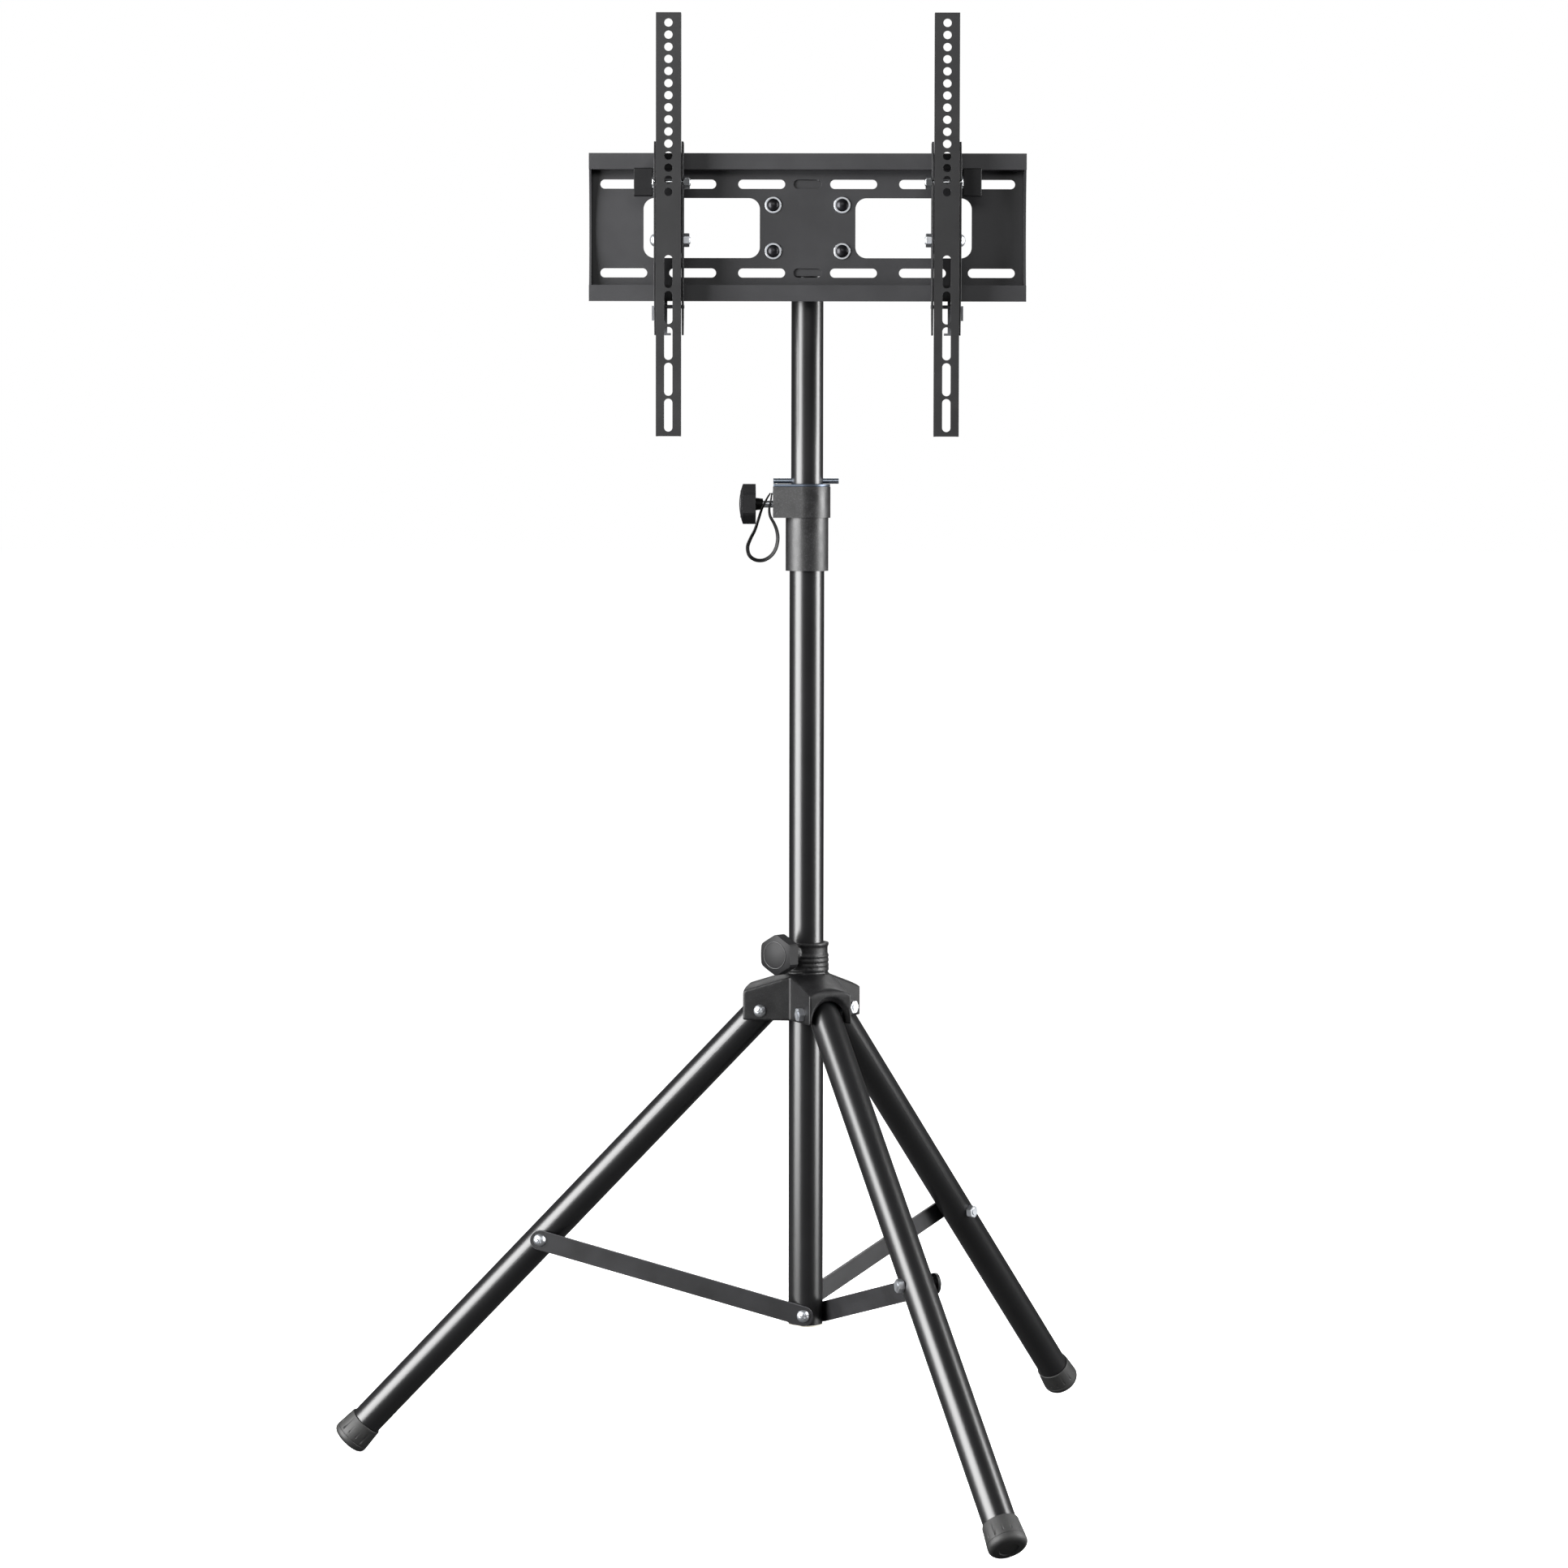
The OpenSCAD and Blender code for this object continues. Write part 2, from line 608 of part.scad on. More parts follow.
module pole_collar() color("#2a2a2c") difference() {
    union() {
        translate([0, 0, collar_ring_z]) linear_extrude(collar_ring) collar_outline();
        translate([0, 0, collar_base_z]) cylinder(d = collar_sleeve_d, h = collar_sleeve + 1, $fn = 96);
    }
    translate([0, 0, collar_base_z - 1])
        cylinder(r = lower_pole_r + run_fit, h = pole_top_z - collar_base_z + 1 + run_fit, $fn = 96);
    translate([0, 0, pole_top_z]) cylinder(r = upper_pole_r + 4, h = collar_rise - 3, $fn = 96);
    translate([0, 0, pole_top_z]) cylinder(r = upper_pole_r + seat_gap, h = far, $fn = 96);
    translate([0, 0, collar_knob_z]) {
        along_x(-far, 0, clamp_screw_r + seat_gap);
        along_x(-far, -collar_ring_d / 2 - 1, 7 + run_fit);
    }
}

module collar_insert() color("#b08d4a") translate([0, 0, collar_knob_z]) difference() {
    along_x(-collar_boss_reach + 0.2, -collar_ring_d / 2 - 1 - run_fit, 7);
    along_x(-far, 0, clamp_screw_r + run_fit);
}

module collar_bush() color("#e8e6df")
    tube(upper_pole_r + 4 - run_fit, upper_pole_r + run_fit, pole_top_z + 2 * run_fit,
        pole_top_z + collar_rise - 3 - run_fit);

module collar_wear_plate() color("#20262e") translate([0, 0, collar_top_z]) linear_extrude(wear_plate_t)
    difference() {
        collar_outline(-0.4);
        circle(r = upper_pole_r + seat_gap, $fn = 96);
    }

module at_collar_knob() translate([0, 0, collar_knob_z]) rotate([0, 0, 180]) children();
module collar_knob_head() color("#202022") at_collar_knob() knob_head(collar_knob_x);
module collar_knob_screw() color("#c9cbcf") at_collar_knob()
    knob_screw(upper_pole_r + seat_gap, collar_knob_x);

// Tether: a flat strap swept along its route with an eight-sided section
function unit(v) = v / norm(v);
function ahead(i) = unit(strap_points[min(i + 1, len(strap_points) - 1)] - strap_points[max(i - 1, 0)]);
function ring_point(i, a) =
    let (t = ahead(i), wide = unit([0, 1, 0] - t * (t * [0, 1, 0])), thin = cross(t, wide))
    strap_points[i] + wide * cos(a) * strap_w / 2 + thin * sin(a) * strap_t / 2;
module tether_strap() color("#161616") {
    n = len(strap_points);
    sides = 8;
    points = [for (i = [0:n - 1], k = [0:sides - 1]) ring_point(i, 22.5 + k * 45)];
    walls = [for (i = [0:n - 2], k = [0:sides - 1])
        [i * sides + k, i * sides + (k + 1) % sides, (i + 1) * sides + (k + 1) % sides, (i + 1) * sides + k]];
    polyhedron(points = points, faces = concat(walls, [[for (k = [sides - 1:-1:0]) k]],
        [[for (k = [0:sides - 1]) (n - 1) * sides + k]]));
}

module tether_rivet() color("#8a8d92") translate([-collar_boss_reach, strap_points[0][1], strap_points[0][2]])
    rotate([0, -90, 0]) cylinder(r = 1.6, h = 0.6);

// ---- Upper pole -------------------------------------------------------------------------

module upper_pole() color("#1c1c1e") difference() {
    tube(upper_pole_r, upper_bore_r, upper_base_z, upper_top_z);
    for (k = [0:height_holes - 1]) translate([0, 0, pin_z - k * height_pitch])
        along_x(-far, far, pin_r + run_fit);
}

module pole_glide() color("#e8e6df") translate([0, 0, upper_base_z]) {
    translate([0, 0, -6]) cylinder(r = lower_bore_r - run_fit, h = 6 - seat_gap, $fn = 96);
    translate([0, 0, -1]) cylinder(r = upper_bore_r - run_fit, h = 26, $fn = 96);
}

module pole_top_cap() color("#262626") translate([0, 0, upper_top_z]) {
    cylinder(r = upper_pole_r, h = 2.5, $fn = 96);
    translate([0, 0, -14]) cylinder(r = upper_bore_r - run_fit, h = 14.5, $fn = 96);
}

module locking_pin() color("#d8dade") translate([0, 0, pin_z]) difference() {
    along_x(-pin_reach_eye, pin_reach_tip, pin_r);
    translate([-pin_reach_eye + 3.4, 0, 0]) cylinder(r = 1.3, h = 20, center = true);
}

module pole_screw_places() for (x = [-1, 1], z = [-1, 1])
    translate([x * pole_screw_w / 2, 0, plate_mid_z + z * pole_screw_h / 2]) children();

module pole_adapter() color("#242426") difference() {
    union() {
        front_sheet(web_back_y, adapter_t) translate([0, plate_mid_z]) {
            round_rect_2d(adapter_w, adapter_wide_h, 6);
            round_rect_2d(adapter_tongue_w, adapter_h, 6);
        }
        for (s = [-1, 1]) translate([s * (upper_pole_r + run_fit + 1.5), 0, plate_mid_z])
            translate([0, web_back_y + adapter_cheek / 2, 0])
                cube([3, adapter_cheek, adapter_h - 16], center = true);
    }
    translate([0, 0, plate_mid_z - adapter_h])
        cylinder(r = upper_pole_r + run_fit, h = 2 * adapter_h, $fn = 96);
    pole_screw_places() along_y(-far, far, pole_screw_d / 2 + run_fit);
}

module wall_plate() color("#3a3a3c") difference() {
    union() {
        front_sheet(web_front_y, plate_t) translate([0, plate_mid_z])
            square([plate_w, plate_h - 2 * plate_lip], center = true);
        for (s = [-1, 1]) {
            front_sheet(lip_front_y, plate_t) translate([0, plate_mid_z + s * (plate_h - plate_lip) / 2])
                square([plate_w, plate_lip], center = true);
            translate([0, lip_front_y + plate_depth / 2,
            plate_mid_z + s * (plate_h / 2 - plate_lip - plate_t / 2)])
                cube([plate_w, plate_depth, plate_t], center = true);
            difference() {
                translate([s * (plate_w / 2 - plate_t / 2), 0, 0]) side_sheet(plate_t)
                    translate([lip_front_y, flange_base_z]) square([plate_depth, plate_h - 2 * plate_lip]);
                translate([0, lip_front_y + plate_end_hollow - end_hollow_r, plate_mid_z])
                    along_x(-far, far, end_hollow_r, $fn = 128);
            }
        }
    }
    front_sheet(-far / 4, far / 2) {
        for (row = [-1, 1]) translate([0, plate_mid_z - 0.6 + row * wall_slot_rows / 2]) {
            slot_2d(0.6 * wall_slot_l, wall_slot_w);
            for (s = [-1, 1], k = [0:2]) translate([s * wall_slot_pitch * (k + 2 / 3), 0])
                slot_2d(wall_slot_l, wall_slot_w);
        }
        for (s = [-1, 1]) translate([s * (window_gap + window_w) / 2, plate_mid_z])
            round_rect_2d(window_w, window_h, window_r);
    }
    pole_screw_places() along_y(-far, far, pole_screw_d / 2 + run_fit);
}

module pole_washers() color("#c9cbcf") pole_screw_places() difference() {
    along_y(web_front_y - 1.5, web_front_y, pole_washer_d / 2);
    along_y(-far, far, pole_screw_d / 2 + run_fit);
}

module pole_screws() color("#202022") pole_screw_places() translate([0, web_front_y - 1.5, 0])
    rotate([90, 0, 0]) round_bolt(pole_screw_d, 1.5 + plate_t + adapter_t + 7, pole_screw_head_d, 4);

module pole_nuts() color("#c9cbcf") pole_screw_places() translate([0, -upper_pole_r, 0])
    rotate([-90, 0, 0]) hex_nut(pole_screw_d, 10, 5);

// ---- Hook brackets, latches and arms ----------------------------------------------------

// Side outline of the bracket: hooks over the upper lip, rests on the lips' fronts and
// reaches under the lower lip, where the latch turns
module hook_outline() polygon([
    [hook_front_y + 8, plate_top_z + hook_rise], [lip_back_y + seat_gap + hook_tip, plate_top_z + hook_rise],
    [lip_back_y + seat_gap + hook_tip, plate_top_z - 9], [lip_back_y + seat_gap, plate_top_z - 9],
    [lip_back_y + seat_gap, plate_top_z + seat_gap], [hook_back_y, plate_top_z + seat_gap],
    [hook_back_y, flange_top_z - plate_t - 1], [hook_ear_y, flange_top_z - plate_t - 1],
    [hook_ear_y, flange_base_z + plate_t + 1], [hook_back_y, flange_base_z + plate_t + 1],
    [hook_back_y, plate_base_z - latch_lip_gap], [lip_back_y + 4, plate_base_z - latch_lip_gap],
    [lip_back_y + 4, plate_base_z - 16], [lip_front_y - 4, plate_base_z - hook_drop],
    [lip_front_y - 10, plate_base_z - hook_drop], [hook_front_y, tilt_z - 25],
    [hook_front_y, plate_top_z - 8]]);

// Arc that the tilt clamp screw moves along, about the tilt pivot
module tilt_arc_2d(r) translate([tilt_y, tilt_z]) {
    from = 90 - tilt_arc_rest - tilt_back;
    to = 90 - tilt_arc_rest + tilt_forward;
    for (a = [from, to]) translate(tilt_arc_r * [cos(a), sin(a)]) circle(r = r);
    intersection() {
        difference() {
            circle(r = tilt_arc_r + r, $fn = 128);
            circle(r = tilt_arc_r - r, $fn = 128);
        }
        polygon([[0, 0], 2 * tilt_arc_r * [cos(from), sin(from)], 2 * tilt_arc_r * [cos(to), sin(to)]]);
    }
}

module hook_bracket(side) color("#202022") at_arm(side) difference() {
    union() {
        for (s = [-1, 1]) translate([s * (hook_inner + hook_t / 2), 0, 0]) side_sheet(hook_t) hook_outline();
        translate([-hook_inner - 0.5, hook_ear_y - hook_t, tilt_z - 10])
            cube([2 * hook_inner + 1, hook_t, 55]);
    }
    translate([-far / 2, 0, 0]) rotate([90, 0, 90]) linear_extrude(far) {
        tilt_arc_2d(bolt_r + seat_gap);
        translate([tilt_y, tilt_z]) circle(r = bolt_r + run_fit);
        translate([lip_front_y, latch_pin_z]) circle(r = latch_pin_d / 2 + run_fit);
    }
}

module tilt_pivot_bolt(side) color("#d8dade") at_arm(side) translate([hook_outer + run_fit, tilt_y, tilt_z])
    rotate([0, 90, 0]) round_bolt(bolt_d, 2 * hook_outer + nut_h + 1);

module tilt_pivot_nut(side) color("#c9cbcf") at_arm(side) translate([-hook_outer - run_fit, tilt_y, tilt_z])
    rotate([0, -90, 0]) hex_nut(bolt_d);

// A lever that hooks up behind the lower lip, with its own pin and a release tab outside
module latch(side) color("#4a4a4c") at_arm(side) translate([0, lip_front_y, latch_pin_z]) {
    along_x(-hook_outer - 0.6, hook_outer + 0.6, latch_pin_d / 2);
    translate([latch_offset - latch_w / 2 - 4, -1.5, -latch_l]) cube([5, 3, 2.4]);
    translate([latch_offset, 0, 0]) side_sheet(latch_w) {
        circle(r = latch_pin_d / 2 + 1);
        translate([-1.5, -latch_l]) square([3, latch_l]);
        translate([plate_t + seat_gap, 0]) square([3, 15]);
        square([plate_t + seat_gap + 3, 2.6]);
    }
    translate([hook_outer + 0.6, -1.5, -15]) cube([2.4, 3, 16]);
}

module arm(side) color("#343436") at_arm(side) difference() {
    union() {
        front_sheet(arm_front_y, arm_t) translate([0, (arm_top_z + arm_base_z) / 2])
            square([arm_w, arm_length], center = true);
        for (s = [-1, 1]) translate([s * (arm_w - arm_t) / 2, 0, 0]) side_sheet(arm_t) union() {
            translate([arm_front_y, arm_base_z]) square([arm_depth, arm_length]);
            translate([arm_front_y, tilt_z - 14]) square([arm_ear_depth, tilt_screw_rise + 24]);
        }
    }
    front_sheet(arm_front_y - 1, arm_t + 2) {
        for (k = [0:screen_holes - 1])
            translate([0, arm_top_z - arm_end_margin - screen_hole_d / 2 - 1 - k * screen_hole_pitch])
                circle(d = screen_hole_d);
        for (k = [0:screen_slots - 1])
            translate([0, arm_base_z + arm_end_margin - 0.5 + screen_slot_l / 2 + k * screen_slot_pitch])
                rotate(90) slot_2d(screen_slot_l, screen_hole_d);
    }
    translate([0, tilt_y, tilt_z]) along_x(-far, far, bolt_r + run_fit);
    translate([0, tilt_screw_y, tilt_screw_z]) along_x(-far, far, bolt_r + run_fit);
}

module at_tilt_screw(side) at_arm(side) translate([0, tilt_screw_y, tilt_screw_z]) children();

module tilt_nut(side) color("#c9cbcf") at_tilt_screw(side) translate([-hook_outer - seat_gap, 0, 0])
    rotate([0, -90, 0]) hex_nut(bolt_d);

module tilt_screw(side) color("#d8dade") at_tilt_screw(side) {
    along_x(-hook_outer - nut_h - 1, hook_outer + 12, bolt_r);
    along_x(hook_outer + seat_gap, hook_outer + 1.8, 8);
}

module tilt_knob(side) color("#121213") at_tilt_screw(side) difference() {
    intersection() {
        translate([hook_outer + 1.8 + tilt_knob_l / 2, 0, 0])
            cube([tilt_knob_l, tilt_knob_t, tilt_knob_h], center = true);
        along_x(0, far, tilt_knob_h / 2);
    }
    along_x(0, hook_outer + 12, bolt_r);
}

// ---- The stand --------------------------------------------------------------------------

lower_pole();
pole_end_plug();
pole_collar();
collar_wear_plate();
collar_bush();
collar_insert();
tether_strap();
tether_rivet();
collar_knob_head();
collar_knob_screw();
pole_glide();
upper_pole();
pole_top_cap();
pole_adapter();
wall_plate();
pole_screws();
pole_washers();
pole_nuts();
locking_pin();
hook_bracket(-1);  // hook_bracket_left
hook_bracket(1);  // hook_bracket_right
tilt_pivot_bolt(-1);  // tilt_pivot_bolt_left
tilt_pivot_bolt(1);  // tilt_pivot_bolt_right
tilt_pivot_nut(-1);  // tilt_pivot_nut_left
tilt_pivot_nut(1);  // tilt_pivot_nut_right
latch(-1);  // latch_left
latch(1);  // latch_right
arm(-1);  // arm_left
arm(1);  // arm_right
tilt_nut(-1);  // tilt_nut_left
tilt_nut(1);  // tilt_nut_right
tilt_knob(-1);  // tilt_knob_left
tilt_knob(1);  // tilt_knob_right
tilt_screw(-1);  // tilt_screw_left
tilt_screw(1);  // tilt_screw_right
hub();
hub_insert();
hub_bolts();
hub_nuts();
hub_knob_head();
hub_knob_screw();
leg_tube(1);  // leg_tube_1
leg_tube(2);  // leg_tube_2
leg_tube(3);  // leg_tube_3
leg_foot(1);  // leg_foot_1
leg_foot(2);  // leg_foot_2
leg_foot(3);  // leg_foot_3
brace_bolt(1);  // brace_bolt_1
brace_bolt(2);  // brace_bolt_2
brace_bolt(3);  // brace_bolt_3
brace_nut(1);  // brace_nut_1
brace_nut(2);  // brace_nut_2
brace_nut(3);  // brace_nut_3
brace_bar(1);  // brace_bar_1
brace_bar(2);  // brace_bar_2
brace_bar(3);  // brace_bar_3
brace_end_bolt(1);  // brace_end_bolt_1
brace_end_bolt(2);  // brace_end_bolt_2
brace_end_bolt(3);  // brace_end_bolt_3
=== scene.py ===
"""Floor stand for a screen: a folding tripod, a telescoping pole and a plate with tilting arms."""

import json
import logging
import math
from dataclasses import dataclass, field, replace
from enum import Enum
from typing import Iterable, Mapping, Sequence

import bmesh
import bpy
from mathutils import Matrix, Vector

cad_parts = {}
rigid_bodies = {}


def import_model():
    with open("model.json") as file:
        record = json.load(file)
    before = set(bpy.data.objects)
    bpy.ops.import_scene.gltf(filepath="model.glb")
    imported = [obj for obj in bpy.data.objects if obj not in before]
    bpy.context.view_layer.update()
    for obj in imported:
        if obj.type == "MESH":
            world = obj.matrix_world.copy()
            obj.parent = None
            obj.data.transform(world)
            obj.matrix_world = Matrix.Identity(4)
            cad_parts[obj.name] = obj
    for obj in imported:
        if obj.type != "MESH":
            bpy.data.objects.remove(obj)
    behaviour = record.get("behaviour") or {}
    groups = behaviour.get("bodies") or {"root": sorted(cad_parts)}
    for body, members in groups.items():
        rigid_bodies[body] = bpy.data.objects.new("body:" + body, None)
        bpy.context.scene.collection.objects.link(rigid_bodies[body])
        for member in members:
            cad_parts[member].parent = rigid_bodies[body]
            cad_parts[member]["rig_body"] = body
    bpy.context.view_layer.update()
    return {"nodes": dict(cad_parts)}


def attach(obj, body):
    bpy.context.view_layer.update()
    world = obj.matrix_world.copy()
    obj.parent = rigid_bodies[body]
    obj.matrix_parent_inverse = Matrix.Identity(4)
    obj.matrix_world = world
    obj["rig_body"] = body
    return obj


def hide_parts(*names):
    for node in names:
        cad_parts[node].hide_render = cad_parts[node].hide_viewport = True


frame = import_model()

LOG = logging.getLogger("stand")
MM = 0.001
FULL_TURN = 2 * math.pi
# Points nearer than WELD metres are one, and a lathe's corner nearer than ON_AXIS to its axis is a pole
WELD = 2e-6
ON_AXIS = 1e-7
# Faces that turn by less than FLAT degrees are one flat, and by more than EDGE meet at an edge
FLAT = 0.4
EDGE = 32.0


class Side(Enum):
    """Which of the two screen arms a piece belongs to."""

    LEFT = "left"
    RIGHT = "right"


# ---- Nodes ------------------------------------------------------------------------------


def linear(hex_colour: str) -> tuple[float, float, float, float]:
    """Turns an sRGB hex colour into the linear colour that shaders take.

    Args:
        hex_colour: Six hex digits after a hash sign.

    Returns:
        Linear red, green and blue, and an alpha of one.
    """
    parts = [int(hex_colour[i : i + 2], 16) / 255 for i in (1, 3, 5)]
    return tuple(c / 12.92 if c <= 0.04045 else ((c + 0.055) / 1.055) ** 2.4 for c in parts) + (1.0,)


def add(
    tree: bpy.types.NodeTree,
    kind: str,
    sockets: Mapping | None = None,
    **settings: object,
) -> bpy.types.Node:
    """Adds a node with its settings and what goes into its sockets.

    Args:
        tree: The shader or geometry tree that the node joins.
        kind: The node's type name.
        sockets: For each input, by name or number, a value, a node or another node's socket.
        **settings: The node's own settings.

    Returns:
        The new node.
    """
    node = tree.nodes.new(kind)
    for key, value in settings.items():
        setattr(node, key, value)
    for key, value in (sockets or {}).items():
        if isinstance(value, bpy.types.Node):
            value = value.outputs[0]
        if isinstance(value, bpy.types.NodeSocket):
            tree.links.new(value, node.inputs[key])
        else:
            node.inputs[key].default_value = value
    return node


# ---- Finishes ---------------------------------------------------------------------------


@dataclass(frozen=True)
class Finish:
    """What every finish has: two tones that drift into each other, a gloss that varies, and a grain.

    The tones and the gloss drift over mottle_mm, and the grain stands grain_depth_mm high
    at a spacing of grain_mm.
    """

    name: str
    slot: str
    colour: str
    drift: str
    roughness: float
    gloss_spread: float
    mottle_mm: float
    grain_mm: float
    grain_depth_mm: float
    metallic: float = 0.0
    ior: float = 1.5

    def material(self) -> bpy.types.Material:
        """Makes the material, or gives the one already made.

        Returns:
            The material of this finish.
        """
        made = bpy.data.materials.get(self.name)
        if made:
            return made
        made = bpy.data.materials.new(self.name)
        made.use_nodes = True
        tree = made.node_tree
        tree.nodes.clear()
        shader = add(tree, "ShaderNodeBsdfPrincipled", {"Metallic": self.metallic, "IOR": self.ior})
        add(tree, "ShaderNodeOutputMaterial", {"Surface": shader})
        place = add(tree, "ShaderNodeTexCoord").outputs["Object"]
        drift = add(
            tree,
            "ShaderNodeTexNoise",
            {"Vector": place, "Scale": 1 / (self.mottle_mm * MM), "Detail": 4.0, "Roughness": 0.6},
        )
        grain = self.grain(tree, place)
        tone = add(
            tree,
            "ShaderNodeMix",
            {
                "Factor": self.tone_factor(tree, drift, grain),
                6: linear(self.colour),
                7: linear(self.drift),
            },
            data_type="RGBA",
        )
        gloss = add(
            tree,
            "ShaderNodeMapRange",
            {
                "Value": drift,
                "From Min": 0.3,
                "From Max": 0.7,
                "To Min": max(0.02, self.roughness - self.gloss_spread),
                "To Max": self.roughness + self.gloss_spread,
            },
        )
        bump = add(
            tree,
            "ShaderNodeBump",
            {"Height": grain, "Strength": 1.0, "Distance": self.grain_depth_mm * MM},
        )
        tree.links.new(tone.outputs[2], shader.inputs["Base Color"])
        tree.links.new(gloss.outputs[0], shader.inputs["Roughness"])
        tree.links.new(bump.outputs[0], shader.inputs["Normal"])
        return made

    def grain(self, tree: bpy.types.NodeTree, place: bpy.types.NodeSocket) -> bpy.types.NodeSocket:
        """Draws the height of the surface's grain.

        Args:
            tree: The material's tree.
            place: Where on the piece, in metres.

        Returns:
            A socket from 0 to 1.
        """
        noise = add(
            tree,
            "ShaderNodeTexNoise",
            {"Vector": place, "Scale": 1 / (self.grain_mm * MM), "Detail": 2.0},
        )
        return noise.outputs["Fac"]

    def tone_factor(
        self, tree: bpy.types.NodeTree, drift: bpy.types.Node, grain: bpy.types.NodeSocket
    ) -> bpy.types.NodeSocket:
        """Says where the second tone shows: by default, where the drift is high."""
        return add(
            tree, "ShaderNodeMapRange", {"Value": drift, "From Min": 0.35, "From Max": 0.65}
        ).outputs[0]


@dataclass(frozen=True)
class PowderPaint(Finish):
    """Polyester powder paint, sprayed and baked: soft waves like orange peel, with a dust of fine pits."""

    def grain(self, tree: bpy.types.NodeTree, place: bpy.types.NodeSocket) -> bpy.types.NodeSocket:
        """Draws the orange peel, which breaks up a highlight's edge.

        Args:
            tree: The material's tree.
            place: Where on the piece, in metres.

        Returns:
            The height of the paint.
        """
        peel = add(
            tree,
            "ShaderNodeTexNoise",
            {"Vector": place, "Scale": 1 / (self.grain_mm * MM), "Detail": 1.0, "Roughness": 0.4},
        )
        pits = add(
            tree,
            "ShaderNodeTexVoronoi",
            {"Vector": place, "Scale": 2 / (self.grain_mm * MM)},
            feature="F1",
        )
        pitted = add(
            tree,
            "ShaderNodeMath",
            {0: pits.outputs["Distance"], 1: 0.25, 2: peel.outputs["Fac"]},
            operation="MULTIPLY_ADD",
        )
        return pitted.outputs[0]


@dataclass(frozen=True)
class GrainedNylon(Finish):
    """Glass-filled nylon from a spark-eroded tool: a pebbled skin whose peaks are rubbed a little lighter."""

    def grain(self, tree: bpy.types.NodeTree, place: bpy.types.NodeSocket) -> bpy.types.NodeSocket:
        """Draws pebbles of two sizes, which give the skin its sparkle.

        Args:
            tree: The material's tree.
            place: Where on the piece, in metres.

        Returns:
            The height of the skin.
        """
        pebbles = add(
            tree,
            "ShaderNodeTexVoronoi",
            {"Vector": place, "Scale": 1 / (self.grain_mm * MM), "Smoothness": 0.6},
            feature="SMOOTH_F1",
        )
        fine = add(
            tree,
            "ShaderNodeTexNoise",
            {"Vector": place, "Scale": 2.5 / (self.grain_mm * MM), "Detail": 2.0},
        )
        raised = add(
            tree,
            "ShaderNodeMath",
            {0: pebbles.outputs["Distance"], 1: -0.9, 2: fine.outputs["Fac"]},
            operation="MULTIPLY_ADD",
        )
        return raised.outputs[0]

    def tone_factor(
        self, tree: bpy.types.NodeTree, drift: bpy.types.Node, grain: bpy.types.NodeSocket
    ) -> bpy.types.NodeSocket:
        """Lightens the peaks of the grain, where hands rub it."""
        return add(
            tree, "ShaderNodeMapRange", {"Value": grain, "From Min": 0.1, "From Max": 0.45}
        ).outputs[0]


@dataclass(frozen=True)
class MouldedPlastic(Finish):
    """ABS moulded in a polished tool: an even satin skin with faint flow lines."""

    def grain(self, tree: bpy.types.NodeTree, place: bpy.types.NodeSocket) -> bpy.types.NodeSocket:
        """Draws flow lines, much longer than they are wide.

        Args:
            tree: The material's tree.
            place: Where on the piece, in metres.

        Returns:
            The height of the skin.
        """
        drawn_out = add(
            tree,
            "ShaderNodeMapping",
            {"Vector": place, "Rotation": (0.4, 0.2, 0.0), "Scale": (1.0, 1.0, 0.2)},
        )
        return super().grain(tree, drawn_out.outputs[0])


@dataclass(frozen=True)
class Rubber(Finish):
    """Moulded rubber: matt, with a grey bloom and a fine tooth that holds dust."""

    def tone_factor(
        self, tree: bpy.types.NodeTree, drift: bpy.types.Node, grain: bpy.types.NodeSocket
    ) -> bpy.types.NodeSocket:
        """Dusts the rubber with bloom in soft patches, broken up by its tooth."""
        return add(
            tree, "ShaderNodeMath", {0: drift.outputs[0], 1: grain}, operation="MULTIPLY"
        ).outputs[0]


@dataclass(frozen=True)
class PlatedMetal(Finish):
    """Steel or brass, turned and then plated or blued: turning marks run round it under a bright skin."""

    mark_stretch: float = 0.08

    def grain(self, tree: bpy.types.NodeTree, place: bpy.types.NodeSocket) -> bpy.types.NodeSocket:
        """Draws fine marks, stretched the way that the tool ran.

        Args:
            tree: The material's tree.
            place: Where on the piece, in metres.

        Returns:
            The height of the metal.
        """
        drawn_out = add(
            tree, "ShaderNodeMapping", {"Vector": place, "Scale": (self.mark_stretch, 1.0, 1.0)}
        )
        return super().grain(tree, drawn_out.outputs[0])


@dataclass(frozen=True)
class RibbedStrap(Finish):
    """Polypropylene strap, drawn through a die: fine ribs run along it, as its own length map lays them."""

    ribs: int = 5

    def grain(self, tree: bpy.types.NodeTree, place: bpy.types.NodeSocket) -> bpy.types.NodeSocket:
        """Draws the ribs across the strap's width.

        Args:
            tree: The material's tree.
            place: Where on the piece, which a strap doesn't use.

        Returns:
            The height of the ribs.
        """
        lay = add(tree, "ShaderNodeTexCoord").outputs["UV"]
        across = add(tree, "ShaderNodeSeparateXYZ", {"Vector": lay})
        wave = add(
            tree,
            "ShaderNodeMath",
            {0: across.outputs["X"], 1: 2 * self.ribs * FULL_TURN},
            operation="MULTIPLY",
        )
        crest = add(tree, "ShaderNodeMath", {0: wave}, operation="SINE")
        lifted = add(tree, "ShaderNodeMapRange", {"Value": crest, "From Min": -1.0})
        return lifted.outputs[0]


# Semi-gloss powder paint on drawn tube: near black, with broad bright highlights
TUBE_PAINT = PowderPaint(
    "powder_painted_tube", "steel_tube", "#0b0b0c", "#0e0e0f", 0.3, 0.01, 70, 5.0, 0.0004
)
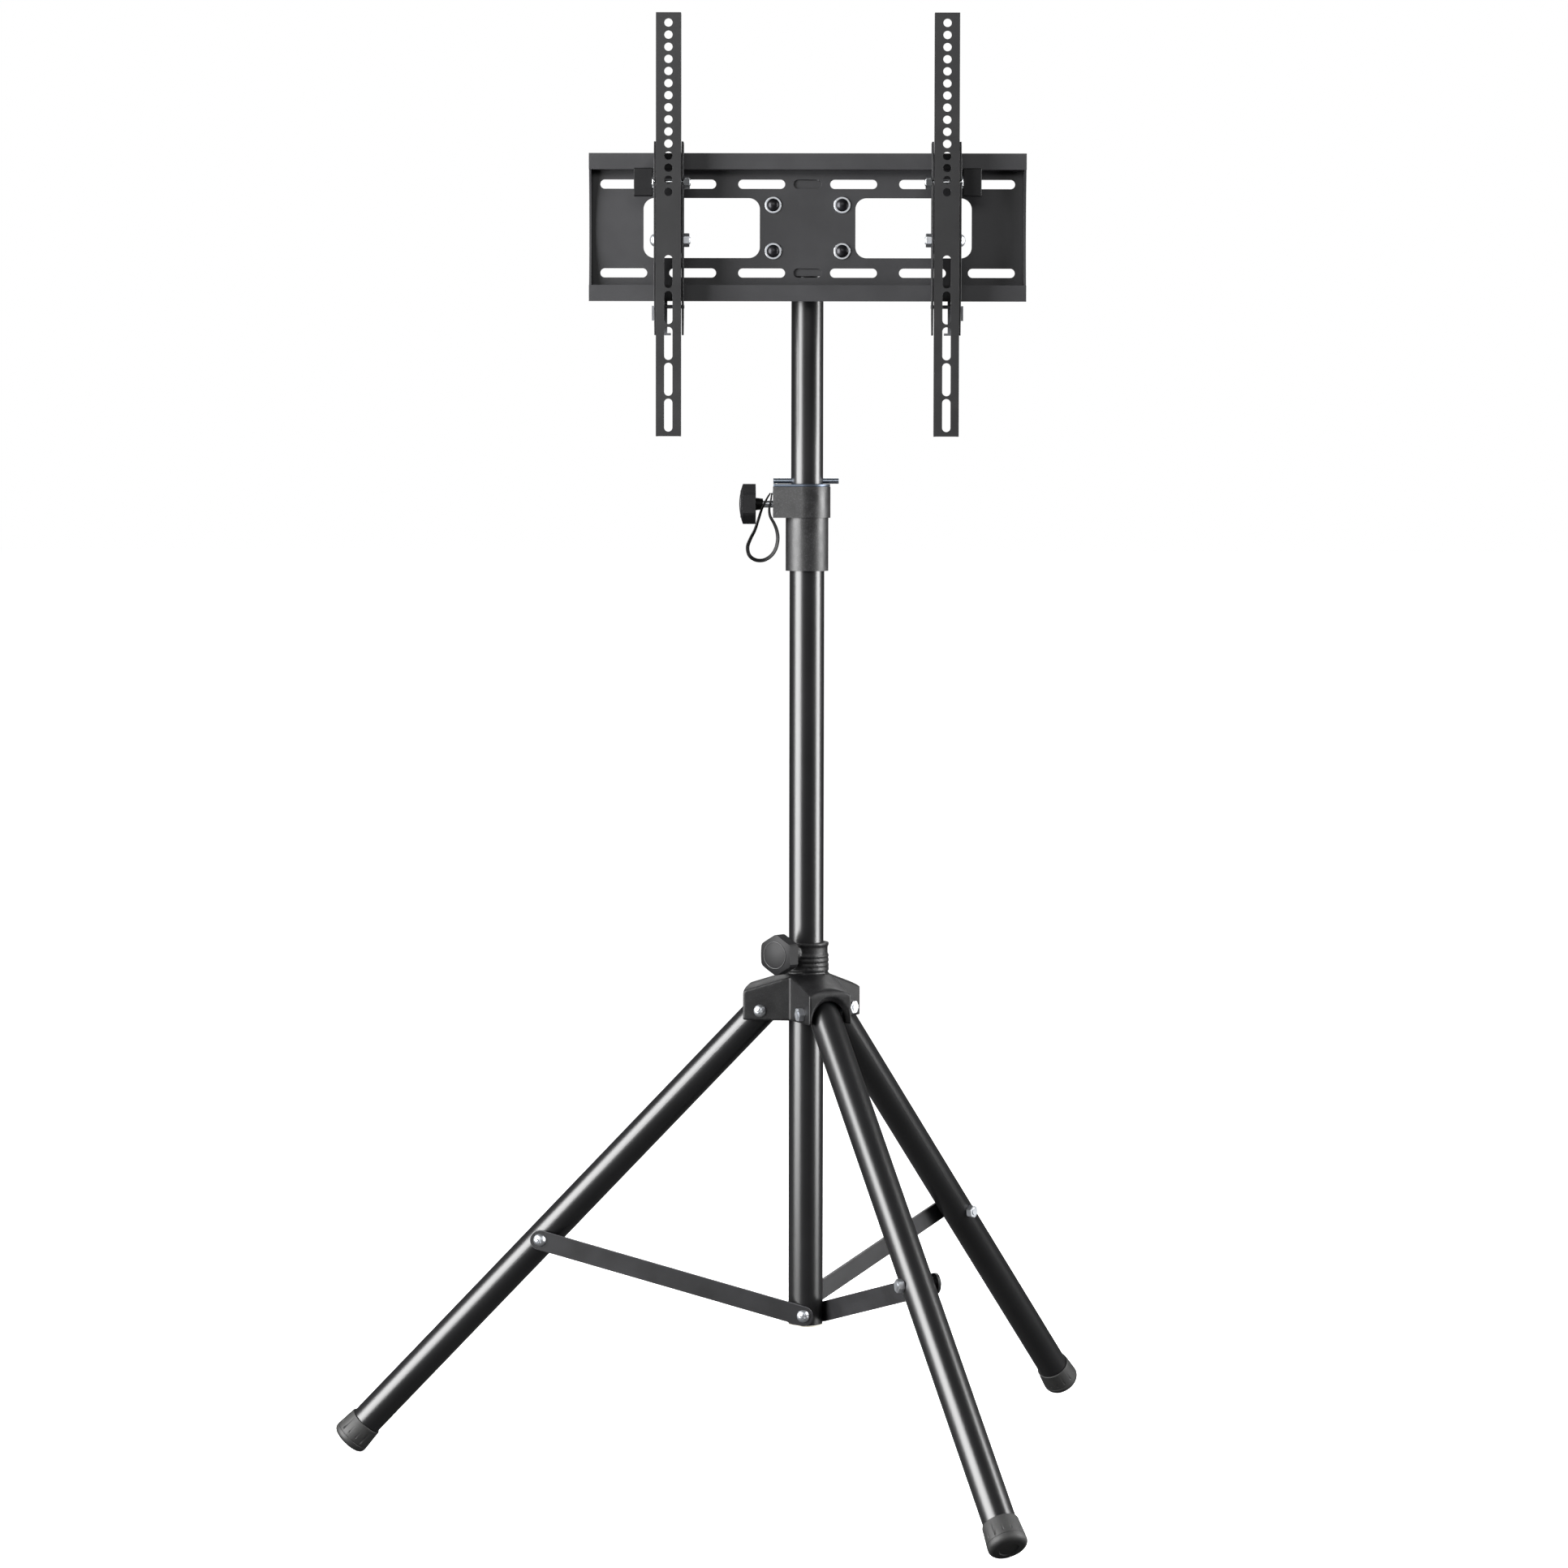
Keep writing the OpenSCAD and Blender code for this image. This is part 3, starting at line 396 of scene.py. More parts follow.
# Satin powder paint on pressed sheet: charcoal, the highlight spread so wide that the face looks matt
SHEET_PAINT = PowderPaint(
    "powder_painted_sheet", "plate_steel", "#1d1d1f", "#222224", 0.5, 0.03, 45, 1.6, 0.006, ior=1.46
)
# A lighter tone for the sheet's rounded edges: painted highlight
SHEET_EDGE_HIGHLIGHT = replace(
    SHEET_PAINT, name="powder_painted_sheet_edge_highlight", colour="#434346", drift="#303032", roughness=0.38
)
# The arms and their hooks take a darker copy of the plate's paint: painted shade, as less of the front light
# falls on them
SHADED_ARM_PAINT = replace(SHEET_PAINT, name="powder_painted_arm_shaded", colour="#101011", drift="#151516", ior=1.4)
# A lighter tone for the arms' rounded edges: painted highlight, darkened along with the arms' painted shade
SHADED_ARM_EDGE_HIGHLIGHT = replace(SHEET_EDGE_HIGHLIGHT, name="shaded_arm_paint_edge_highlight", colour="#363639", drift="#28282a")
# The same paint on flat bar, laid on thinner over the rolled skin
BAR_PAINT = replace(
    SHEET_PAINT,
    name="powder_painted_bar", slot="bar_steel", colour="#141415", drift="#1a1a1c", roughness=0.42,
)
# A lighter tone for the bars' rounded edges: painted highlight
BAR_EDGE_HIGHLIGHT = replace(
    BAR_PAINT, name="powder_painted_bar_edge_highlight", colour="#4a4a4d", drift="#2c2c2e", roughness=0.34
)
# Pebbled nylon: the grain is 1.1 mm on the real one and is drawn at 1.8 mm, so that it still shows
NYLON = GrainedNylon(
    "spark_grained_nylon", "grained_plastic", "#09090a", "#161617", 0.46, 0.08, 25, 1.8, 0.04, ior=1.36
)
# The collar is handled most, and its grain is rubbed to a salt-and-pepper grey
WORN_NYLON = replace(NYLON, name="rubbed_nylon", colour="#0b0b0c", drift="#232325", roughness=0.44, ior=1.44)
# A lighter tone for the collar's rounded edges: painted highlight
WORN_NYLON_EDGE_HIGHLIGHT = replace(
    WORN_NYLON, name="rubbed_nylon_edge_highlight", colour="#232325", drift="#4a4a4d", roughness=0.4
)
# Matt-tool ABS: deep black that hardly shines; the light that its corners catch is painted, in the lighter
# tone below
KNOB_ABS = MouldedPlastic(
    "moulded_abs", "knob_plastic", "#08080a", "#0d0d0e", 0.54, 0.05, 30, 3.0, 0.01, ior=1.28
)
# A lighter tone for the knobs' rounded corners and face bead: painted highlight
KNOB_EDGE_HIGHLIGHT = replace(
    KNOB_ABS, name="moulded_abs_edge_highlight", colour="#131314", drift="#1a1a1b", roughness=0.4, ior=1.4
)
# Natural nylon inside the tubes: warm white, a little milky
WHITE_NYLON = MouldedPlastic(
    "moulded_white_nylon", "white_plastic", "#e4e1d6", "#d6d2c4", 0.4, 0.06, 30, 3.0, 0.01
)
# Mid-grey ABS on the latches, as dull as the knobs
TAB_GREY = replace(
    KNOB_ABS, name="moulded_grey_tab", slot="plate_steel", colour="#55565a", drift="#4a4b4e", ior=1.5
)
# Black rubber: no highlight, only a soft grey bloom
FOOT_RUBBER = Rubber("moulded_rubber", "foot_rubber", "#0b0b0b", "#242423", 0.66, 0.08, 22, 1.3, 0.03)
# Drawn strap: black, with thin lights along its ribs
STRAP = RibbedStrap(
    "drawn_polypropylene_strap", "strap_plastic", "#050506", "#0b0b0c", 0.45, 0.05, 18, 1.0, 0.04, ior=1.28
)
# Zinc plate: bright and slightly clouded, as passivated zinc is
ZINC = PlatedMetal(
    "zinc_plated_steel", "plated_steel", "#d6d8db", "#b9bdc3", 0.36, 0.07, 9, 0.5, 0.006, metallic=1.0
)
# Hard chrome on the tilt clamps: a mirror with the faintest turning marks
CHROME = PlatedMetal(
    "chromed_steel", "plated_steel", "#dcdee0", "#c9ccd0", 0.12, 0.04, 14, 0.4, 0.003, metallic=1.0
)
# Ground steel on the pin: bluer and duller than chrome, with drawn-out marks
PIN_STEEL = PlatedMetal(
    "ground_steel", "plated_steel", "#9aa3ad", "#848c97", 0.24, 0.05, 10, 0.5, 0.004, metallic=1.0
)
# Black oxide on the plate's button screws: a thin dark skin that still shines like metal
BLACKENED = PlatedMetal(
    "black_oxide_steel", "plated_steel", "#17171a", "#202024", 0.34, 0.06, 6, 0.5, 0.004, metallic=0.6
)
# Blued steel on the wear plate: a dark blue metal
BLUED = PlatedMetal(
    "blued_steel", "blued_steel", "#1b2f5e", "#111c3d", 0.34, 0.06, 12, 0.5, 0.006, metallic=0.8
)
# Turned brass, as the threaded inserts are: a dull yellow metal
BRASS = PlatedMetal(
    "turned_brass", "brass_insert", "#b5924c", "#94753a", 0.3, 0.07, 8, 0.4, 0.006, metallic=1.0
)


# ---- Mesh work --------------------------------------------------------------------------


def shown(name: str, mesh: bpy.types.Mesh) -> bpy.types.Object:
    """Puts a mesh into the scene as an object at the origin."""
    piece = bpy.data.objects.new(name, mesh)
    bpy.context.scene.collection.objects.link(piece)
    return piece


def outward_mesh(name: str, shape: bmesh.types.BMesh) -> bpy.types.Mesh:
    """Turns a closed shape into a mesh whose faces point outwards, and frees the shape.

    Args:
        name: The mesh's name.
        shape: The shape.

    Returns:
        The mesh.
    """
    bmesh.ops.recalc_face_normals(shape, faces=shape.faces)
    mesh = bpy.data.meshes.new(name)
    shape.to_mesh(mesh)
    shape.free()
    return mesh


def settle(piece: bpy.types.Object) -> None:
    """Turns a piece with modifiers into one plain mesh, and drops the modifiers.

    Args:
        piece: The piece, whose mesh is replaced.
    """
    graph = bpy.context.evaluated_depsgraph_get()
    mesh = bpy.data.meshes.new_from_object(
        piece.evaluated_get(graph), preserve_all_data_layers=True, depsgraph=graph
    )
    piece.modifiers.clear()
    piece.data = mesh
    mesh.name = piece.name


def smooth(piece: bpy.types.Object, angle: float = 34.0) -> None:
    """Shades a piece smooth, with a sharp line wherever its faces turn by more than angle degrees."""
    for face in piece.data.polygons:
        face.use_smooth = True
    piece.data.set_sharp_from_angle(angle=math.radians(angle))


def soften(piece: bpy.types.Object, width_mm: float, lit_edges: bool) -> None:
    """Rounds a piece's sharp edges, as rolling, moulding or paint leaves them.

    Args:
        piece: The piece, whose faces meet at clean edges.
        width_mm: Width of the rounding.
        lit_edges: Whether the rounding takes the piece's second material, a lighter tone that paints the
            highlight which rounded edges catch.
    """
    bevel = piece.modifiers.new("Rounding", "BEVEL")
    bevel.width = width_mm * MM
    bevel.segments = 2
    bevel.limit_method = "ANGLE"
    bevel.angle_limit = math.radians(EDGE)
    bevel.use_clamp_overlap = True
    bevel.miter_outer = "MITER_ARC"
    # The second material on the rounding is painted highlight along the edges
    bevel.material = 1 if lit_edges else -1
    even = piece.modifiers.new("Even shading", "WEIGHTED_NORMAL")
    even.keep_sharp = True
    smooth(piece)
    settle(piece)


def dress(piece: bpy.types.Object, body: str, finish: Finish, *nodes: str) -> bpy.types.Object:
    """Makes a piece part of the object: it rides on a body and stands for CAD nodes.

    Args:
        piece: The finished piece.
        body: The CAD body that it moves with.
        finish: Not used.
        *nodes: The CAD nodes that it stands for.

    Returns:
        The piece.
    """
    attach(piece, body)
    if nodes:
        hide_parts(*nodes)
    return piece


def carve(piece: bpy.types.Object, cutter: bpy.types.Mesh) -> None:
    """Cuts one closed shape out of a piece; the cut faces take the cutter's material.

    Args:
        piece: The piece, which is closed.
        cutter: What is cut away, in the same place.
    """
    tool = shown("cutter", cutter)
    cut = piece.modifiers.new("Cut", "BOOLEAN")
    cut.operation, cut.solver, cut.object, cut.material_mode = "DIFFERENCE", "EXACT", tool, "TRANSFER"
    settle(piece)
    bpy.data.objects.remove(tool)


def refine(
    node: str,
    finish: Finish,
    edge: Finish | None = None,
    width_mm: float = 0.4,
    cutters: Iterable[bpy.types.Mesh] = (),
    grid_mm: float | None = None,
) -> bpy.types.Object:
    """Makes a finished piece from a CAD node's own shape, with its edges rounded.

    Args:
        node: The CAD node.
        finish: What its faces take.
        edge: What its rounded edges take: a lighter tone, painted highlight along them.
        width_mm: Width of the rounding.
        cutters: Closed shapes that are cut away before the rounding.
        grid_mm: The grid of a moulded piece, which is rounded all over and not only at its edges.

    Returns:
        The piece, which stands for the node.
    """
    source = frame["nodes"][node]
    shape = bmesh.new()
    shape.from_mesh(source.data)
    bmesh.ops.remove_doubles(shape, verts=shape.verts, dist=WELD)
    bmesh.ops.dissolve_degenerate(shape, edges=shape.edges, dist=WELD / 2)
    mesh = bpy.data.meshes.new(node + "_finished")
    shape.to_mesh(mesh)
    piece = shown(mesh.name, mesh)
    mesh.materials.clear()
    mesh.materials.append(finish.material())
    if edge:
        mesh.materials.append(edge.material())
    for face in mesh.polygons:
        face.material_index = 0
    for cutter in cutters:
        carve(piece, cutter)
    if grid_mm:
        mould(piece, grid_mm)
        return dress(piece, source["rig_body"], finish, node)
    shape.clear()
    shape.from_mesh(piece.data)
    bmesh.ops.dissolve_limit(
        shape,
        angle_limit=math.radians(FLAT),
        verts=shape.verts,
        edges=shape.edges,
        use_dissolve_boundaries=False,
        delimit={"MATERIAL"},
    )
    shape.to_mesh(piece.data)
    shape.free()
    soften(piece, width_mm, edge is not None)
    return dress(piece, source["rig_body"], finish, node)


def mould(piece: bpy.types.Object, grid_mm: float, passes: int = 4) -> None:
    """Rounds every corner of a piece, inner and outer, as an injection mould does.

    Args:
        piece: The piece, which is closed.
        grid_mm: The size of the faces that it is made of again; corners are rounded about as much.
        passes: How often its points are evened out.
    """
    grid = piece.modifiers.new("Grid", "REMESH")
    grid.mode, grid.voxel_size, grid.adaptivity = "VOXEL", grid_mm * MM, 0.0
    even = piece.modifiers.new("Even", "SMOOTH")
    even.factor, even.iterations = 0.5, passes
    settle(piece)
    smooth(piece, 60)


def coat(node: str, finish: Finish) -> None:
    """Gives a CAD node that keeps its own shape a finish."""
    skins = frame["nodes"][node].data.materials
    skins.clear()
    skins.append(finish.material())


def turned(profile: Sequence[tuple[float, float]], steps: int, closed: bool) -> bpy.types.Mesh:
    """Turns a profile round the Z axis, as a lathe does.

    Args:
        profile: Radius and height of each corner in metres, with the solid on its left going up.
        steps: How many faces go round.
        closed: Whether the last corner joins the first, as on a tube.

    Returns:
        The turned mesh, with its faces pointing outwards.
    """
    shape = bmesh.new()
    rings = []
    for radius, height in profile:
        around = [FULL_TURN * k / steps for k in range(steps if radius > ON_AXIS else 1)]
        rings.append([shape.verts.new((radius * math.cos(a), radius * math.sin(a), height)) for a in around])
    pairs = list(zip(rings, rings[1:])) + ([(rings[-1], rings[0])] if closed else [])
    for low, high in pairs:
        for k in range(steps):
            n = k + 1
            corners = [low[k % len(low)], low[n % len(low)], high[n % len(high)], high[k % len(high)]]
            unique = list(dict.fromkeys(corners))
            if len(unique) > 2:
                shape.faces.new(unique)
    return outward_mesh("turned", shape)


def rounded(
    corner: Sequence[float], radius: float, start: float, end: float, count: int
) -> list[tuple[float, float]]:
    """Gives points on an arc of a profile, round a centre, from one angle in degrees to another."""
    angles = [math.radians(start + (end - start) * k / count) for k in range(count + 1)]
    return [(corner[0] + radius * math.cos(a), corner[1] + radius * math.sin(a)) for a in angles]


# ---- Geometry trees ---------------------------------------------------------------------


@dataclass
class ShapeTree:
    """A geometry tree with named inputs, which is run on a starting mesh and baked into a plain one."""

    name: str
    inputs: Mapping[str, str]
    tree: bpy.types.NodeTree = field(init=False)
    source: bpy.types.Node = field(init=False)

    def __post_init__(self) -> None:
        """Starts the tree with a mesh in, a mesh out and the named inputs."""
        self.tree = bpy.data.node_groups.new(self.name, "GeometryNodeTree")
        for way in ("OUTPUT", "INPUT"):
            self.tree.interface.new_socket("Geometry", in_out=way, socket_type="NodeSocketGeometry")
        for label, kind in {**self.inputs, "Skin": "NodeSocketMaterial"}.items():
            self.tree.interface.new_socket(label, in_out="INPUT", socket_type=kind)
        self.source = add(self.tree, "NodeGroupInput")

    def size(self, label: str) -> bpy.types.NodeSocket:
        """Gives the socket of a named input."""
        return self.source.outputs[label]

    def sum(self, operation: str, first: object, second: object = 0.0) -> bpy.types.NodeSocket:
        """Gives the result of one step of arithmetic."""
        return add(self.tree, "ShaderNodeMath", {0: first, 1: second}, operation=operation).outputs[0]

    def upright(self, shape: bpy.types.NodeSocket, height: object) -> bpy.types.NodeSocket:
        """Lifts a shape by height along Z."""
        where = add(self.tree, "ShaderNodeCombineXYZ", {"Z": height})
        return add(self.tree, "GeometryNodeTransform", {"Geometry": shape, "Translation": where}).outputs[0]

    def rod(self, radius: object, length: object, base: object, sides: int = 48) -> bpy.types.NodeSocket:
        """Makes a round rod or a prism along Z, from base upwards.

        Args:
            radius: Its radius, to the corners of a prism.
            length: Its length.
            base: The height of its lower end.
            sides: How many sides it has.

        Returns:
            The rod.
        """
        made = add(
            self.tree, "GeometryNodeMeshCylinder", {"Vertices": sides, "Radius": radius, "Depth": length}
        ).outputs[0]
        return self.upright(made, self.sum("ADD", base, self.sum("MULTIPLY", length, 0.5)))

    def combine(self, operation: str, first: object, *others: object) -> bpy.types.NodeSocket:
        """Joins, cuts or intersects solid shapes.

        Args:
            operation: UNION, DIFFERENCE or INTERSECT.
            first: The shape that is worked on.
            *others: The shapes that are joined to it or cut from it.

        Returns:
            The result.
        """
        node = add(self.tree, "GeometryNodeMeshBoolean", operation=operation, solver="EXACT")
        if operation == "DIFFERENCE":
            self.tree.links.new(first, node.inputs[0])
            rest = others
        else:
            rest = (first, *others)
        for shape in rest:
            self.tree.links.new(shape, node.inputs[1])
        return node.outputs[0]

    def place_on_seats(self, shape: bpy.types.NodeSocket) -> bpy.types.NodeSocket:
        """Puts a copy of a shape on each seat, turned the way that the seat says."""
        turn = add(self.tree, "GeometryNodeInputNamedAttribute", {"Name": "turn"}, data_type="FLOAT_VECTOR")
        return add(
            self.tree,
            "GeometryNodeInstanceOnPoints",
            {"Points": self.size("Geometry"), "Instance": shape, "Rotation": turn.outputs[0]},
        ).outputs[0]

    def close(self, shape: bpy.types.NodeSocket) -> None:
        """Ends the tree: real meshes, one skin."""
        real = add(self.tree, "GeometryNodeRealizeInstances", {"Geometry": shape})
        skinned = add(self.tree, "GeometryNodeSetMaterial", {"Geometry": real, "Material": self.size("Skin")})
        add(self.tree, "NodeGroupOutput", {0: skinned})

    def bake(
        self, name: str, start: bpy.types.Mesh, sizes: Mapping[str, object], finish: Finish
    ) -> bpy.types.Object:
        """Runs the tree on a mesh.

        Args:
            name: The new piece's name.
            start: The mesh that goes in.
            sizes: A value for each named input.
            finish: The finish of the result.

        Returns:
            The piece as one plain mesh.
        """
        piece = shown(name, start)
        run = piece.modifiers.new("Shape", "NODES")
        run.node_group = self.tree
        for item in self.tree.interface.items_tree:
            if item.in_out == "INPUT" and item.name in sizes:
                run[item.identifier] = sizes[item.name]
            elif item.in_out == "INPUT" and item.name == "Skin":
                run[item.identifier] = finish.material()
        settle(piece)
        return piece


LENGTH = "NodeSocketFloat"


@dataclass
class DomeScrews(ShapeTree):
    """Round-headed screws with a cross recess, one on each seat, heads along the seat's Z.

    slot_share is a slot's width against its length. The shank reaches sunk of the head's height into
    the head, and the slots' middle is slot_lift of that height up.
    """

    name: str = "dome_screws"
    inputs: Mapping[str, str] = field(
        default_factory=lambda: dict.fromkeys(
            ("Head radius", "Head height", "Dome radius", "Shank radius", "Shank length", "Recess"), LENGTH
        )
    )
    slot_share: float = 0.28
    slot_lift: float = 1.05
    sunk: float = 0.3

    def __post_init__(self) -> None:
        """Builds the tree: a dome cut from a ball, a shank, and two crossed slots."""
        super().__post_init__()
        head, high, dome = self.size("Head radius"), self.size("Head height"), self.size("Dome radius")
        ball = add(self.tree, "GeometryNodeMeshUVSphere", {"Segments": 64, "Rings": 64, "Radius": dome})
        ball = self.upright(ball.outputs[0], self.sum("SUBTRACT", high, dome))
        cap = self.combine("INTERSECT", self.rod(head, high, 0.0), ball)
        length = self.size("Shank length")
        overlap = self.sum("MULTIPLY", high, self.sunk)
        shank = self.rod(
            self.size("Shank radius"),
            self.sum("ADD", length, overlap),
            self.sum("MULTIPLY", length, -1.0),
            32,
        )
        slot = self.size("Recess")
        arms = []
        for wide, deep in ((1.0, self.slot_share), (self.slot_share, 1.0)):
            span = add(
                self.tree,
                "ShaderNodeCombineXYZ",
                {"X": self.sum("MULTIPLY", slot, wide), "Y": self.sum("MULTIPLY", slot, deep), "Z": high},
            )
            bar = add(self.tree, "GeometryNodeMeshCube", {"Size": span}).outputs[0]
            arms.append(self.upright(bar, self.sum("MULTIPLY", high, self.slot_lift)))
        whole = self.combine("DIFFERENCE", self.combine("UNION", cap, shank), self.combine("UNION", *arms))
        self.close(self.place_on_seats(whole))


@dataclass
class HexNuts(ShapeTree):
    """Hexagon nuts with turned corners, one on each seat, sitting above it."""

    name: str = "hexagon_nuts"
    inputs: Mapping[str, str] = field(
        default_factory=lambda: dict.fromkeys(
            ("Corner radius", "Height", "Bore radius", "Chamfer radius"), LENGTH
        )
    )

    def __post_init__(self) -> None:
        """Builds the tree: a hexagon trimmed by a ball, with its bore."""
        super().__post_init__()
        high = self.size("Height")
        chamfer = self.size("Chamfer radius")
        ball = add(self.tree, "GeometryNodeMeshUVSphere", {"Segments": 48, "Rings": 32, "Radius": chamfer})
        ball = self.upright(ball.outputs[0], self.sum("MULTIPLY", high, 0.5))
        body = self.combine("INTERSECT", self.rod(self.size("Corner radius"), high, 0.0, 6), ball)
        through = self.sum("MULTIPLY", high, 2.0), self.sum("MULTIPLY", high, -0.5)
        bore = self.rod(self.size("Bore radius"), *through, 32)
        self.close(self.place_on_seats(self.combine("DIFFERENCE", body, bore)))


@dataclass
class FlutedBody(ShapeTree):
    """A turned body with round-ended flutes cut round it, for grip."""

    name: str = "fluted_body"
    inputs: Mapping[str, str] = field(
        default_factory=lambda: {
            "Flutes": "NodeSocketInt",
            **dict.fromkeys(("Flute radius", "Flute centre", "Flute base", "Flute length"), LENGTH),
        }
    )

    def __post_init__(self) -> None:
        """Builds the tree: a ring of cutters taken from the body."""
        super().__post_init__()
        radius, base, length = self.size("Flute radius"), self.size("Flute base"), self.size("Flute length")
        cutter = [self.rod(radius, length, base, 16)]
        for end in (base, self.sum("ADD", base, length)):
            ball = add(self.tree, "GeometryNodeMeshUVSphere", {"Segments": 16, "Rings": 12, "Radius": radius})
            cutter.append(self.upright(ball.outputs[0], end))
        ring = add(
            self.tree,
            "GeometryNodeMeshCircle",
            {"Vertices": self.size("Flutes"), "Radius": self.size("Flute centre")},
        )
        cutters = add(
            self.tree,
            "GeometryNodeInstanceOnPoints",
            {"Points": ring, "Instance": self.combine("UNION", *cutter)},
        )
        real = add(self.tree, "GeometryNodeRealizeInstances", {"Geometry": cutters})
        self.close(self.combine("DIFFERENCE", self.size("Geometry"), real.outputs[0]))


def seats(name: str, places: Iterable[Matrix]) -> bpy.types.Mesh:
    """Makes the starting mesh of a row of fasteners: a point for each, with its turn.

    Args:
        name: The mesh's name.
        places: Where each fastener sits, in millimetres, with its head along Z.

    Returns:
        A mesh of loose points.
    """
    places = list(places)
    mesh = bpy.data.meshes.new(name)
    mesh.from_pydata([place.translation * MM for place in places], [], [])
    turns = mesh.attributes.new("turn", "FLOAT_VECTOR", "POINT")
    for row, place in zip(turns.data, places):
        row.vector = place.to_euler()
    return mesh


# ---- Where things sit -------------------------------------------------------------------


@dataclass(frozen=True)
class Stance:
    """How the open legs and braces stand, in millimetres and degrees."""

    first_leg: float = 173.5
    spread: float = 43.5
    pivot_r: float = 48.0
    pivot_z: float = 504.502
    leg_length: float = 679.0
    brace_station: float = 357.0
    brace_length: float = 304.0
    brace_angle: float = 75.0738
    brace_face: float = 22.4

    def plane(self, number: int) -> Matrix:
        """Gives the plane of a leg, whose X runs outwards."""
        return Matrix.Rotation(math.radians(self.first_leg + 120 * (number - 1)), 4, "Z")

    def leg(self, number: int) -> Matrix:
        """Gives a leg's pivot, with -Z running down the leg."""
        pivot = Matrix.Translation((self.pivot_r, 0, self.pivot_z))
        return self.plane(number) @ pivot @ Matrix.Rotation(math.radians(-self.spread), 4, "Y")

    def brace(self, number: int) -> Matrix:
        """Gives a brace's bolt on the leg, with -Z running down the brace."""
        bolt = Matrix.Translation((0, 0, -self.brace_station))
        turn = math.radians(self.spread + self.brace_angle)
        return self.leg(number) @ bolt @ Matrix.Rotation(turn, 4, "Y")


# A fastener's turn on a leg's plane: head outwards on its front, or nut outwards on its back
OUTWARDS, INWARDS = (Matrix.Rotation(math.radians(angle), 4, "X") for angle in (-90, 90))


@dataclass
class Fasteners:
    """The bolts and nuts of the legs, braces and hub, in millimetres.

    A nut's corners are trimmed by a ball of nut_ball times its flats, and a bolt ends past_nut beyond it.
    """

    head_r: float = 7.0
    head_h: float = 4.6
    shank_r: float = 4.0
    nut_flats: float = 13.0
    nut_h: float = 6.4
    nut_ball: float = 0.6
    past_nut: float = 1.0
    recess: float = 6.4
    fit: float = 0.05
    screws: DomeScrews = field(default_factory=DomeScrews)
    nuts: HexNuts = field(default_factory=HexNuts)

    def through(self, grip: float) -> float:
        """Gives the shank's length of a bolt that clamps grip and takes a nut."""
        return grip + self.nut_h + self.past_nut

    def bolt_row(self, node: str, places: Iterable[Matrix], length: float) -> bpy.types.Object:
        """Makes the bolts of one CAD node.

        Args:
            node: The CAD node that they stand for.
            places: Their seats.
            length: Their shank's length.

        Returns:
            The bolts as one piece.
        """
        sizes = {
            "Head radius": self.head_r * MM,
            "Head height": self.head_h * MM,
            "Dome radius": (self.head_r**2 + self.head_h**2) / (2 * self.head_h) * MM,
            "Shank radius": self.shank_r * MM,
            "Shank length": length * MM,
            "Recess": self.recess * MM,
        }
        row = self.screws.bake(node + "_finished", seats(node, places), sizes, ZINC)
        smooth(row, 40)
        return dress(row, frame["nodes"][node]["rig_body"], ZINC, node)

    def nut_row(self, node: str, places: Iterable[Matrix]) -> bpy.types.Object:
        """Makes the nuts of one CAD node.

        Args:
            node: The CAD node that they stand for.
            places: Their seats.

        Returns:
            The nuts as one piece.
        """
        sizes = {
            "Corner radius": self.nut_flats / 2 / math.cos(math.radians(30)) * MM,
            "Height": self.nut_h * MM,
            "Bore radius": (self.shank_r + self.fit) * MM,
            "Chamfer radius": self.nut_flats * self.nut_ball * MM,
        }
        row = self.nuts.bake(node + "_finished", seats(node, places), sizes, ZINC)
        smooth(row, 24)
        return dress(row, frame["nodes"][node]["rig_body"], ZINC, node)


# ---- Sub-assemblies ---------------------------------------------------------------------


